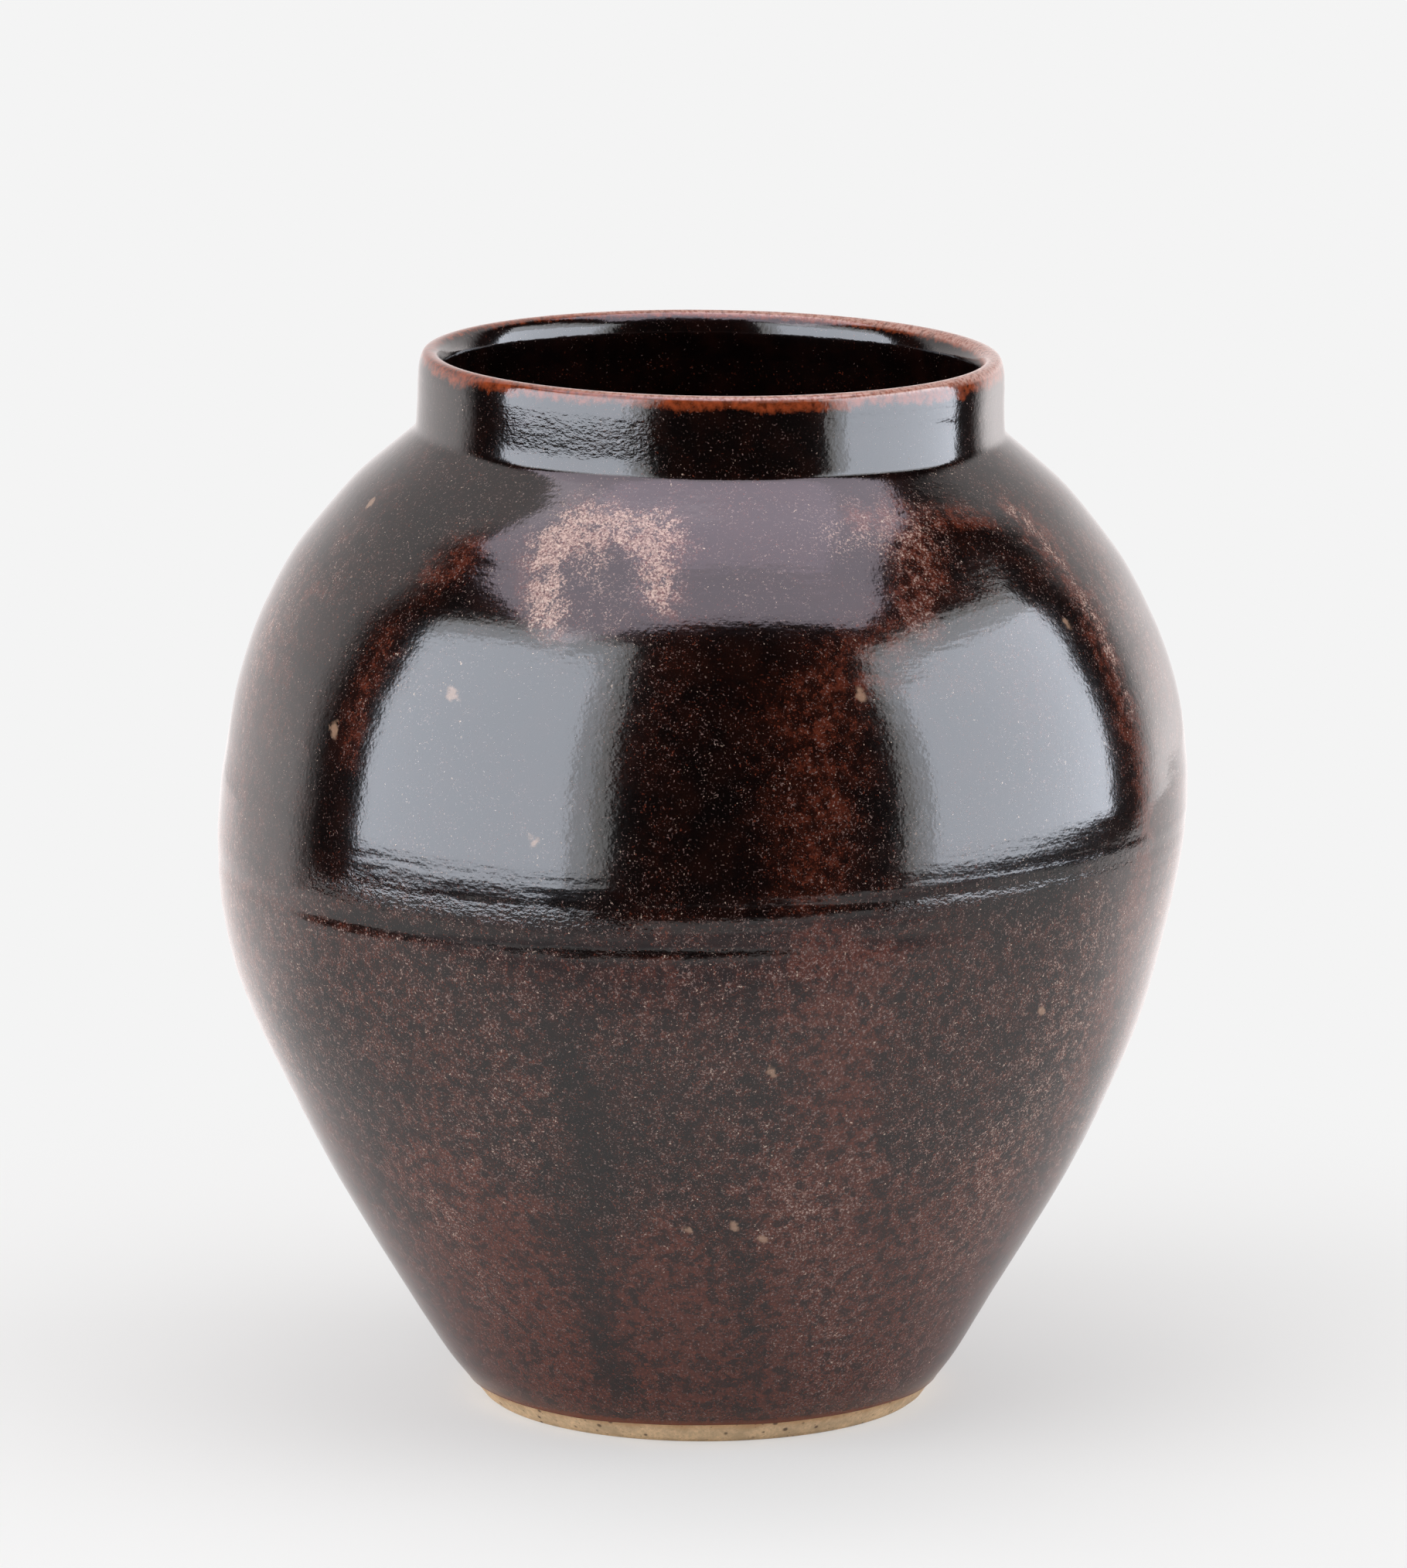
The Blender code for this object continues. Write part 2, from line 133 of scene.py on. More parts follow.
# Strokes of the glaze pattern: kind, half width, strength, points of azimuth and height
STROKES = (
    ("bloom", 0.0042, 1.15, ((-22.3, 0.212), (-24.2, 0.219), (-25.6, 0.2255), (-20.0, 0.2297),
                             (-13.0, 0.2305), (-9.0, 0.2297), (-8.2, 0.2255), (-7.9, 0.220),
                             (-7.4, 0.216))),
    ("rust", 0.0055, 0.90, ((-22.3, 0.210), (-25.5, 0.222), (-20.0, 0.229), (-8.5, 0.229),
                            (-7.2, 0.215))),
    ("bloom", 0.0060, 0.24, ((20.0, 0.2305), (27.0, 0.2290), (37.0, 0.2280))),
    ("rust", 0.0030, 0.90, ((24.0, 0.2315), (38.0, 0.2305), (51.0, 0.2295))),
    ("rust", 0.0065, 1.00, ((33.0, 0.228), (32.5, 0.220), (29.0, 0.211))),
    ("bloom", 0.0060, 0.20, ((33.0, 0.226), (31.0, 0.216), (29.0, 0.211))),
    ("rust", 0.0110, 0.52, ((24.0, 0.208), (17.0, 0.199), (13.0, 0.188), (13.0, 0.172),
                            (14.0, 0.152))),
    ("rust", 0.0055, 1.00, ((59.0, 0.2300), (61.0, 0.222), (62.0, 0.208), (62.0, 0.190),
                            (63.0, 0.165), (64.0, 0.147), (63.0, 0.118), (60.0, 0.085))),
    ("bloom", 0.0020, 0.40, ((58.5, 0.2300), (61.0, 0.222), (62.0, 0.205), (62.5, 0.182))),
    ("rust", 0.0055, 0.40, ((-38.0, 0.222), (-44.0, 0.216))),
    ("rust", 0.0045, 0.55, ((-45.5, 0.199), (-47.0, 0.190), (-47.5, 0.176))),
    ("rust", 0.0090, 0.60, ((13.0, 0.140), (18.0, 0.130), (17.0, 0.110), (19.0, 0.090),
                            (21.0, 0.070))),
    ("bloom", 0.0120, 0.13, ((16.0, 0.066), (20.0, 0.050), (24.0, 0.034), (26.0, 0.018))),
    ("bloom", 0.0220, 0.12, ((77.0, 0.215), (80.0, 0.150), (78.0, 0.100), (74.0, 0.060))),
    ("rust", 0.0200, 0.42, ((76.0, 0.215), (79.0, 0.150), (77.0, 0.100), (73.0, 0.060))),
    ("bloom", 0.0180, 0.18, ((-78.0, 0.200), (-80.0, 0.140), (-76.0, 0.090))),
    ("rust", 0.0200, 0.60, ((-76.0, 0.200), (-78.0, 0.140), (-74.0, 0.090))),
    ("rust", 0.0120, 1.30, ((15.0, 0.066), (20.0, 0.044), (26.0, 0.018))),
    ("rust", 0.0130, 1.60, ((-38.0, 0.062), (-38.0, 0.048), (-38.0, 0.030), (-40.0, 0.014))),
    ("bloom", 0.0070, 0.14, ((-42.0, 0.060), (-40.0, 0.040))),
    ("rust", 0.0080, 1.10, ((-5.0, 0.052), (-3.0, 0.036), (-1.0, 0.018))),
    ("rust", 0.0110, 1.30, ((47.0, 0.062), (46.0, 0.036), (48.0, 0.018))),
    ("bloom", 0.0170, 0.13, ((52.0, 0.125), (50.0, 0.085), (47.0, 0.045), (46.0, 0.020))),
    ("pool", 0.0070, 1.00, ((-16.0, 0.112), (-15.0, 0.090), (-15.0, 0.069))),
    ("pool", 0.0055, 1.00, ((-19.0, 0.062), (-19.0, 0.040), (-17.0, 0.017))),
    ("pool", 0.0050, 0.90, ((5.0, 0.063), (8.0, 0.045), (11.0, 0.025))),
    ("pool", 0.0060, 0.70, ((-8.0, 0.225), (-13.0, 0.222))),
    ("pool", 0.0015, 1.30, ((-48.0, 0.1368), (-22.0, 0.1362), (8.0, 0.1360))),
    ("bloom", 0.0065, 0.50, ((-21.0, 0.2260), (-14.0, 0.2275), (-9.0, 0.2260))),
    ("bloom", 0.0090, 0.17, ((-19.0, 0.221), (-13.0, 0.217))),
    ("pitted", 0.0048, 1.00, ((-40.0, 0.2490), (-27.0, 0.2492), (-13.0, 0.2500))),
    ("pitted", 0.0032, 1.00, ((-50.0, 0.1440), (-30.0, 0.1425), (-9.0, 0.1412))),
    ("pitted", 0.0028, 0.80, ((22.0, 0.1440), (45.0, 0.1462), (64.0, 0.1480))),
    ("rust", 0.0060, 0.90, ((118.0, 0.228), (121.0, 0.205), (119.0, 0.175), (122.0, 0.140),
                            (120.0, 0.100))),
    ("bloom", 0.0045, 0.45, ((118.0, 0.228), (121.0, 0.205), (119.0, 0.180))),
    ("rust", 0.0080, 0.80, ((168.0, 0.226), (171.0, 0.205), (166.0, 0.180), (170.0, 0.150))),
    ("bloom", 0.0050, 0.60, ((150.0, 0.231), (160.0, 0.233), (170.0, 0.231), (174.0, 0.222))),
    ("rust", 0.0060, 0.80, ((-142.0, 0.229), (-139.0, 0.200), (-143.0, 0.165), (-140.0, 0.120))),
    ("rust", 0.0110, 0.80, ((150.0, 0.070), (148.0, 0.045), (152.0, 0.018))),
    ("rust", 0.0100, 0.80, ((-110.0, 0.085), (-113.0, 0.055), (-108.0, 0.020))),
    ("bloom", 0.0090, 0.22, ((-165.0, 0.070), (-160.0, 0.040), (-163.0, 0.020))),
    ("rust", 0.0090, 0.75, ((-70.0, 0.070), (-72.0, 0.045), (-74.0, 0.018))),
    ("rust", 0.0080, 0.70, ((85.0, 0.072), (88.0, 0.045), (86.0, 0.018))),
    ("pool", 0.0080, 1.00, ((100.0, 0.110), (103.0, 0.070), (102.0, 0.030))),
    ("pool", 0.0080, 1.00, ((-90.0, 0.110), (-93.0, 0.070), (-92.0, 0.030))),
    ("pool", 0.0080, 1.00, ((-130.0, 0.100), (-128.0, 0.060), (-131.0, 0.025))),
)
SPOTS = (                     # pale iron spots: azimuth, height, radius
    (-33.0, 0.192, 0.0016), (-20.0, 0.161, 0.0014), (9.0, 0.106, 0.0014), (-51.0, 0.180, 0.0017),
    (5.0, 0.064, 0.0012), (-2.0, 0.063, 0.0011), (9.0, 0.060, 0.0011), (46.0, 0.113, 0.0012),
    (55.0, 0.205, 0.0013), (-69.0, 0.227, 0.0012), (19.0, 0.195, 0.0014), (104.0, 0.170, 0.0015),
    (140.0, 0.120, 0.0014), (-155.0, 0.190, 0.0015), (-120.0, 0.150, 0.0014),
    (176.0, 0.090, 0.0013),
)
BLOOM_SHADE = 0.055           # even cover of crystals, and how much it comes and goes
BLOOM_SWING = 0.035
RUST_SHADE = 0.08
RUST_SWING = 0.11
LOW_BODY_HEIGHT = 0.142       # below this the crystals thicken
LOW_BODY_BLOOM = 0.09
LOW_BODY_RUST = 0.34
LINER_BLOOM = 0.002           # the same for the liner
LINER_RUST = 0.080
# painted shade: the pool colour laid on the liner and down into the mouth, where the jar is dark
# inside
INSIDE_PAINTED_SHADE = 0.10
GLAZE_NAME = "speckled_iron_glaze"

# Noises of the materials: size in metres, detail, roughness
GLAZE_CLOUDS = (0.0090, 4.0, 0.60)
GLAZE_DRIFT = (0.0030, 3.0, 0.60)
GLAZE_FINE = (0.0010, 2.0, 0.60)
LIP_MOTTLE = (0.0018, 3.0, 0.65)
PIT_NOISE = (0.0017, 2.0, 0.60)
CLAY_CLOUDS = (0.0060, 5.0, 0.70)
CLAY_SAND = (0.0009, 3.0, 0.70)

# Specks in the glaze: size, share of their colour in the faintest and in the strongest
RED_SPECKS = (0.0007, 0.15, 0.60)
DULL_SPECKS = (0.0006, 0.45, 1.00)
PALE_SPECKS = (0.0008, 0.25, 0.85)

# Grains in the clay: size, density, radius of the smallest and the largest as shares of the size
IRON_GRAINS = (0.0024, 0.55, 0.14, 0.36)
SAND_GRAINS = (0.0009, 0.26, 0.10, 0.36)
WORN_SHARE = 0.60             # darker clay, as a share of the clay's colour
GLAZE_BUMP = 0.000016         # depth of the unevenness that is too fine for the mesh
CLAY_BUMP = 0.00006
PIT_WEIGHT = 14.0             # weight of the pits in the glaze's unevenness
CLAY_IOR = 1.45
FLOOR_ROUGHNESS = 0.9

# Studio: panels as azimuth and distance of both ends, low and high edge
LEFT_PANEL = ((-22.0, 1.72), (-87.0, 2.41), 0.02, 2.08)
RIGHT_PANEL = ((46.0, 2.00), (109.0, 2.26), -0.10, 1.87)
TOP_PANEL = ((-0.11, -0.30, 1.70), 2.30, 1.36, 8.0)      # middle, width, depth, turn
TOP_CENTRE = ((0.10, -0.15, 1.68), 1.10, 0.90, 8.0)
FLOOR_REACH = (-0.75, 0.75, -0.60, 0.95)          # x, x, y, y
BOX_TINT = (0.90, 0.98, 1.14)
TOP_TINT = (1.13, 0.88, 1.14)
ROOM_TINT = (1.00, 0.94, 0.935)
# tint of the darker floor before the jar, a painted shade
FRONT_SHADE_TINT = (1.05, 0.94, 0.99)
PLAIN_WHITE = (1.0, 1.0, 1.0)
TOP_CENTRE_SHARE = 0.25       # brightness of the small middle panel as a share of the top panel
LAMP_GAP = 0.012              # a lamp that only shines hangs this far before the one behind it
SHINE_STEPS = (               # cut off at the panel's inner end, cut off at its top, share of shine
    (0.06, 0.08, 0.35), (0.13, 0.24, 0.65),
)

# Room that the glaze reflects; each ramp: from, to, value before, value after
ROOM_TURN = (0.0, 0.5, 0.0, 0.31)            # to the right: the pale backdrop starts further back
ROOM_EDGE = (0.23, 0.45, 0.012, 1.0)         # backwards: dark room, then the pale backdrop
ROOM_SIDES = (0.45, 1.00, 1.62, 1.15)        # backwards: brighter beside the jar than behind it
ROOM_UPWARDS = (-0.10, 0.55, 1.0, 0.60)      # upwards: darker
ROOM_RIGHT = (0.20, 0.68, 0.0, 1.1)          # to the right: brighter
ROOM_RIGHT_LOW = (-0.20, 0.30, 1.0, 0.1)     # upwards: less of that

# Floor, by the distance behind the jar's axis or away from it, in metres
# Painted shade: the front of the room is dim, so the floor before the jar is painted darker
SHADE_STRIP_NEAR = (-0.55, -0.38, 1.0, 0.0)        # the darker strip before the jar lies between these
SHADE_STRIP_FAR = (-0.40, -0.20)
FADE_AWAY = (0.11, 0.36)                     # the floor fades to the backdrop away from the jar
FADE_BEFORE = (-0.38, -0.14, 0.50, 1.0)      # and does so less before it
FADE_SHARES = (0.54, 0.46)                   # share that fades so, share that is there all over
SWEEP_BEHIND = (-0.05, 0.20)                 # the glaze reflects a bright floor behind the jar
SWEEP_AWAY = (0.15, 0.38)
SWEEP_STRENGTH = 1.45


def length(label, note, value):
    """Length property in metres."""
    return FloatProperty(name=label, description=note, default=value, unit="LENGTH", precision=5)


def amount(label, note, value, high=1.0):
    """Plain number property from nought to its highest value."""
    return FloatProperty(name=label, description=note, default=value, min=0.0, max=high)


def colour(label, note, value):
    """Linear colour property."""
    return FloatVectorProperty(
        name=label, description=note, default=value, size=3, min=0.0, max=1.0, subtype="COLOR")


class JarSizes(bpy.types.PropertyGroup):
    """Sizes of the thrown clay and of the glaze on it."""

    foot_radius: length("Foot radius", "Outer edge of the ring that the jar stands on", 0.0545)
    belly_radius: length("Belly radius", "Widest part of the clay", 0.1181)
    belly_height: length("Belly height", "Height of the widest part", 0.1460)
    shoulder_height: length("Shoulder height", "From the widest part to the collar's root", 0.0950)
    neck_radius: length("Neck radius", "Outside of the clay collar", 0.0706)
    collar_height: length("Collar height", "From the collar's root to the top of the clay", 0.0184)
    belly_joint_drop: length("Belly joint drop", "From the widest part down to the joint", 0.0065)
    root_fillet: length("Root fillet", "How softly the shoulder runs into the collar", 0.0018)
    floor_thickness: length("Floor", "Clay floor", 0.0080)
    wall_at_floor: length("Wall at the floor", "Clay wall just over the floor", 0.0075)
    wall_at_belly: length("Wall at the belly", "Clay wall at the widest part", 0.0062)
    wall_at_neck: length("Wall at the neck", "Clay wall under the collar", 0.0046)
    lip_thickness: length("Lip", "Clay lip", 0.0035)
    foot_ring_width: length("Foot ring", "Width of the ring that the jar stands on", 0.0090)
    foot_edge_round: length("Foot edge", "Rounding of the foot's outer edge", 0.0008)
    recess_depth: length("Recess depth", "Turned recess under the foot", 0.0030)
    recess_slope: length("Recess slope", "The recess's side leans in by this much", 0.0020)
    clay_band: length("Clay band", "Bare clay between the table and the glaze", 0.0055)
    floor_flat_radius: length("Flat of the floor", "Flat middle of the floor inside", 0.0260)
    floor_curve_height: length("Floor curve", "Height of the curve from floor to wall", 0.0240)
    tongue_height: length("Joint groove", "Depth of the groove at the belly joint", 0.0012)
    seam_depth: length("Seam depth", "The coats meet this far under the top of the clay", 0.0110)
    glaze_lift: length("Glaze surface", "From the clay to the surface of the glaze", 0.00078)
    glaze_lift_at_collar: length("Glaze on the collar", "From the clay to its surface", 0.00098)
    glaze_lift_at_edge: length("Glaze edge", "From the clay to its surface over the foot", 0.00042)
    glaze_taper: length("Glaze taper", "Length over which the glaze thickens from its edge", 0.0090)
    glaze_top: length("Glaze on the lip", "From the clay's top to the glaze's top", 0.00070)
    liner_lift: length("Liner surface", "From the clay to the surface of the liner", 0.00090)
    bed: length("Glaze bed", "Gap between the clay and the back of the glaze", 0.00012)
    edge_wave: length("Edge wave", "How much the glaze's lower edge wavers", 0.00045)
    wander: length("Wander", "Sideways shift of the rings", 0.0020)
    rim_tilt: length("Rim tilt", "The rim is this much higher at one side", 0.0009)
    steps: IntProperty(name="Steps round", description="Points round the jar", default=330, min=24)


class JarColours(bpy.types.PropertyGroup):
    """Colours and finish of the glaze and the clay."""

    dark: colour("Dark glaze", "Thick iron glaze", (0.0024, 0.0010, 0.0009))
    brown: colour("Brown glaze", "Iron glaze that is a little thinner", (0.0085, 0.0025, 0.0017))
    # pooled glaze, and also painted shade: this colour darkens the liner and the inside of the
    # mouth
    pool: colour("Pooled glaze", "Thickest glaze, in pools and inside", (0.0014, 0.0007, 0.0008))
    rust: colour("Rust", "Rusty runs in the glaze", (0.0850, 0.0170, 0.0080))
    edge: colour("Glaze edge", "Thin glaze along its edge over the foot", (0.1700, 0.0380, 0.0120))
    crystal_dull: colour("Dull crystals", "Finest crystals in the glaze", (0.190, 0.1300, 0.1200))
    crystal: colour("Crystals", "Fine crystals in the glaze", (0.470, 0.3200, 0.2650))
    crystal_red: colour("Red crystals", "Crystals over the rusty runs", (0.170, 0.0400, 0.0210))
    crystal_pale: colour("Pale crystals", "Largest crystals in the glaze", (0.620, 0.4800, 0.3900))
    spot: colour("Iron spots", "Pale tan spots in the glaze", (0.400, 0.2500, 0.1700))
    lip: colour("Lip", "Glaze that breaks at the lip", (0.2900, 0.0550, 0.0170))
    lip_pale: colour("Lip crest", "Thinnest glaze on the crest of the lip", (0.520, 0.2950, 0.2450))
    clay: colour("Clay", "Bare fired clay", (0.800, 0.5800, 0.3550))
    clay_flush: colour("Flushed clay", "Clay beside the glaze", (0.520, 0.2650, 0.1050))
    clay_iron: colour("Iron specks", "Dark specks in the clay", (0.060, 0.0280, 0.0150))
    glaze_roughness: amount("Glaze roughness", "Of the clean glaze", 0.10)
    clay_roughness: amount("Clay roughness", "Of the bare clay", 0.85)
    glaze_ior: amount("Glaze index", "Refractive index of the iron-rich glaze", 1.54, 3.0)


class StudioLook(bpy.types.PropertyGroup):
    """Floor, backdrop and lamps."""

    camera_place: FloatVectorProperty(
        name="Camera", description="Place of the camera", default=(0.0, -2.340, 0.6222),
        size=3, subtype="TRANSLATION")
    camera_pitch: FloatProperty(
        name="Pitch", description="Downward tilt of the camera", default=math.radians(11.348),
        subtype="ANGLE")
    lens: FloatProperty(name="Lens", description="Focal length in millimetres", default=222.71)
    box_radiance: amount("Side panels", "Radiance of the side panels, 1 is white", 7.26, 20.0)
    box_share: amount("Side share", "Share of the side panels that lights plainly", 0.34)
    top_radiance: amount("Top panel", "Radiance of the top panel, 1 is white", 3.13, 20.0)
    top_share: amount("Top share", "Share of the top panel that lights plainly", 0.474)
    backdrop: amount("Backdrop", "Camera's white of the backdrop", 0.905)
    floor: amount("Floor", "Reflectance of the floor", 0.86)
    # painted shade: the dim front of the room, as a darker strip of floor
    floor_front_shade: amount("Floor in front", "Reflectance of the darker strip before the jar", 0.44)


def smooth_curve(knots, wanted):
    """Natural cubic spline through (x, y) knots, read at the wanted x values."""
    x, y = np.array(knots, dtype=float).T
    span = np.diff(x)
    slope = np.diff(y) / span
    count = len(x)
    system = np.eye(count)
    right = np.zeros(count)
    for i in range(1, count - 1):
        system[i, i - 1:i + 2] = span[i - 1], 2 * (span[i - 1] + span[i]), span[i]
        right[i] = 6 * (slope[i] - slope[i - 1])
    bend = np.linalg.solve(system, right)
    wanted = np.clip(np.asarray(wanted, dtype=float), x[0], x[-1])
    i = np.clip(np.searchsorted(x, wanted) - 1, 0, count - 2)
    left, rest = wanted - x[i], x[i + 1] - wanted
    curve = (bend[i] * rest ** 3 + bend[i + 1] * left ** 3) / (6 * span[i])
    curve += (y[i] / span[i] - bend[i] * span[i] / 6) * rest
    return curve + (y[i + 1] / span[i] - bend[i + 1] * span[i] / 6) * left


def run_length(line):
    """Distance along a line of points from its first point to each of them."""
    return np.concatenate(([0.0], np.cumsum(np.linalg.norm(np.diff(line, axis=0), axis=1))))


def curve_through(points, count):
    """Smooth curve through given points, each coordinate a spline of the chord length."""
    points = np.array(points, dtype=float)
    along = run_length(points)
    wanted = np.linspace(0.0, along[-1], count)
    curves = [smooth_curve(np.column_stack((along, axis)), wanted) for axis in points.T]
    return np.column_stack(curves)


def smoothstep(low, high, value):
    """Rise from 0 to 1 between low and high: 3t squared less 2t cubed."""
    t = np.clip((value - low) / (high - low), 0.0, 1.0)
    return t * t * (3 - 2 * t)


def sideways(line):
    """Unit normals of a line of points, to its left: the mean direction turned by a quarter."""
    step = np.gradient(line, axis=0)
    step /= np.linalg.norm(step, axis=1)[:, None]
    return np.column_stack((-step[:, 1], step[:, 0]))


def offset(line, distance):
    """Line moved to its left by a distance, one for all points or one for each."""
    return line + sideways(line) * np.broadcast_to(distance, len(line))[:, None]


def soft_noise(points, size, seed, waves=32):
    """Smooth noise: the sum of plane waves of about twice this size in random directions."""
    draw = np.random.default_rng(seed)
    way = draw.normal(size=(3, waves))
    way *= math.tau / (np.linalg.norm(way, axis=0) * size * draw.uniform(1.4, 2.8, waves))
    phase = draw.uniform(0.0, math.tau, waves)
    return np.cos(points @ way + phase).sum(axis=-1) * math.sqrt(2 / waves) / 2


def root_height(s):
    """Height of the collar's root."""
    return s.belly_height + s.shoulder_height


def clay_top(s):
    """Top of the clay lip."""
    return root_height(s) + s.collar_height


def clay_radius(s, height):
    """Outside of the clay: one spline from foot to collar, which blends softly into the collar."""
    low = np.array(LOWER_CURVE_SHARES) * (s.belly_height, s.belly_radius - s.foot_radius)
    high = np.array(UPPER_CURVE_SHARES) * (s.shoulder_height, s.neck_radius - s.belly_radius)
    knots = np.vstack((low + (0.0, s.foot_radius), high + (s.belly_height, s.belly_radius)))
    body = smooth_curve(knots, height)
    over = body - s.neck_radius
    into_collar = s.neck_radius + (over + np.sqrt(over ** 2 + s.root_fillet ** 2)) / 2
    return np.where(np.asarray(height) > s.belly_height, into_collar, body)


def clay_line(s, heights):
    """Outer points of the clay at heights, as rows of radius and height."""
    return np.column_stack((clay_radius(s, heights), heights))


def clay_inside(s, outer):
    """Inner points of the clay wall, square across from its outer points."""
    heights = (s.clay_band, s.belly_height, root_height(s))
    wall = np.interp(outer[:, 1], heights, (s.wall_at_floor, s.wall_at_belly, s.wall_at_neck))
    return offset(outer, -wall)


def floor_top(s):
    """Height of the flat floor inside."""
    return s.recess_depth + s.floor_thickness


def floor_line(s, wall_point, wall_direction, count):
    """Inner floor, from the wall down to the flat middle along a cubic curve, then to the axis."""
    flat = np.array((s.floor_flat_radius, floor_top(s)))
    reach = np.linalg.norm(wall_point - flat)
    along_floor = flat + np.array((FLOOR_CURVE_SHARES[0] * reach, 0.0))
    along_wall = wall_point - wall_direction * FLOOR_CURVE_SHARES[1] * reach
    t = np.linspace(0.0, 1.0, count + 1)[1:, None]
    curve = (1 - t) ** 3 * wall_point + 3 * (1 - t) ** 2 * t * along_wall
    curve += 3 * (1 - t) * t ** 2 * along_floor + t ** 3 * flat
    middle = np.linspace(flat, (0.0, flat[1]), count // 2 + 1)[1:]
    return np.vstack((curve, middle))


def wander(s, points):
    """Rings shifted sideways by height, and the shoulder and rim tilted, as the jar was thrown."""
    share = np.clip(points[..., 2] / clay_top(s), 0.0, 1.0)
    grow = smoothstep(TILT_START_SHARE, root_height(s) / clay_top(s), share)
    points[..., 2] -= points[..., 0] / s.neck_radius * s.rim_tilt * grow
    points[..., 0] += s.wander * smooth_curve(WANDER_SHARES, share)
    return points


def respace(line, spacing):
    """Points along a line, closer where spacing is small: equal steps of length over spacing."""
    along = run_length(line)
    middle = (spacing[1:] + spacing[:-1]) / 2
    load = np.concatenate(([0.0], np.cumsum(np.diff(along) / middle)))
    wanted = np.interp(np.linspace(0.0, load[-1], int(round(load[-1])) + 1), load, along)
    return np.column_stack([np.interp(wanted, along, axis) for axis in line.T])


def ring_points(line, turn):
    """Profile turned round the axis: radius times cosine and sine of the turn, and height."""
    radius = line[:, 0, None]
    height = np.broadcast_to(line[:, 1, None], (len(line), len(turn)))
    return np.stack((radius * np.cos(turn), radius * np.sin(turn), height), axis=-1)


def lift(points, line, turn, rise):
    """Points moved along the profile's normal by a rise for each ring and step."""
    normal = sideways(line)
    out = np.stack(
        (normal[:, 0, None] * np.cos(turn), normal[:, 0, None] * np.sin(turn),
         np.broadcast_to(normal[:, 1, None], rise.shape)), axis=-1)
    return points + out * rise[..., None]


def skin_faces(rings, steps, loop):
    """Four corners of each face between neighbouring rings, and round to the first if a loop."""
    here = np.arange(rings * steps).reshape(rings, steps)
    if loop:
        here = np.vstack((here, here[:1]))
    right = np.roll(here, -1, axis=1)
    return np.stack((here[:-1], here[1:], right[1:], right[:-1]), axis=-1).reshape(-1, 4)


def fan_faces(ring, pole, turned_over):
    """Three-cornered faces from a ring to the point on the axis that closes it."""
    after = np.roll(ring, -1)
    first, second = (ring, after) if turned_over else (after, ring)
    return np.stack((np.full(len(ring), pole), second, first), axis=-1)


def skin(name, points, loop):
    """Piece with faces over its rings; an open one starts and ends in points on the axis."""
    rings, steps = points.shape[:2]
    corners = points.reshape(-1, 3)
    faces = skin_faces(rings, steps, loop).tolist()
    if not loop:
        poles = np.array([ring.mean(axis=0) for ring in (points[0], points[-1])])
        first = np.arange(steps)
        last = first + (rings - 1) * steps
        corners = np.vstack((corners, poles))
        faces += fan_faces(first, rings * steps, True).tolist()
        faces += fan_faces(last, rings * steps + 1, False).tolist()
    mesh = bpy.data.meshes.new(name)
    mesh.from_pydata(corners.tolist(), [], faces)
    mesh.shade_smooth()
    mesh.set_sharp_from_angle(angle=SHARP_ANGLE)
    piece = bpy.data.objects.new(name, mesh)
    bpy.context.scene.collection.objects.link(piece)
    return piece


def paint(piece, name, values):
    """Store one number for each point of a piece; points on the axis get nought."""
    flat = np.zeros(len(piece.data.vertices), dtype=np.float32)
    flat[:values.size] = values.ravel()
    piece.data.attributes.new(name, "FLOAT", "POINT").data.foreach_set("value", flat)


def half_turn(angle):
    """Angle carried by whole turns to the half turn on either side of nought."""
    return (angle + math.pi) % math.tau - math.pi


def azimuths(turn):
    """Azimuth in radians of each step round the jar, from -Y towards +X."""
    return half_turn(turn + math.pi / 2)


def ridge_rise(turn, height):
    """Finger ridges: a bell curve over height, fading round the jar from its azimuth."""
    azimuth = azimuths(turn)[None, :]
    rise = np.zeros((len(height), len(turn)))
    for level, half_width, amount_up, centre, power in RIDGES:
        climb = RIDGE_CLIMB * np.sin(azimuth * 2 + level * 4000)
        near = ((1 + np.cos(azimuth - math.radians(centre))) / 2) ** power
        rise += amount_up * near * np.exp(-((height[:, None] - level - climb) / half_width) ** 2)
    return rise


def wave_rise(turn, height):
    """Throwing waves: sines of height over pitch that climb as they go round."""
    azimuth = azimuths(turn)[None, :]
    rise = np.zeros((len(height), len(turn)))
    for pitch, amount_up, turns in THROWING_WAVES:
        phase = height[:, None] / pitch * math.tau + turns * azimuth
        rise += amount_up * np.sin(phase + np.sin(azimuth + pitch * 900))
    return rise


def collar_lean(s, azimuth, height):
    """The collar leans in at one side: it grows from the root to under the lip, and goes back
    out to the crest, times a bell curve round the jar."""
    furthest = clay_top(s) - LEAN_TOP_DROP
    up = smoothstep(root_height(s) - 0.001, furthest, height)
    back_out = 1 - smoothstep(furthest, clay_top(s) + s.glaze_top - 0.0008, height)
    side = np.exp(-((azimuth - math.radians(LEAN_AZIMUTH)) / math.radians(LEAN_REACH)) ** 2)
    return -LEAN_DEPTH * (up * back_out)[:, None] * side[None, :]


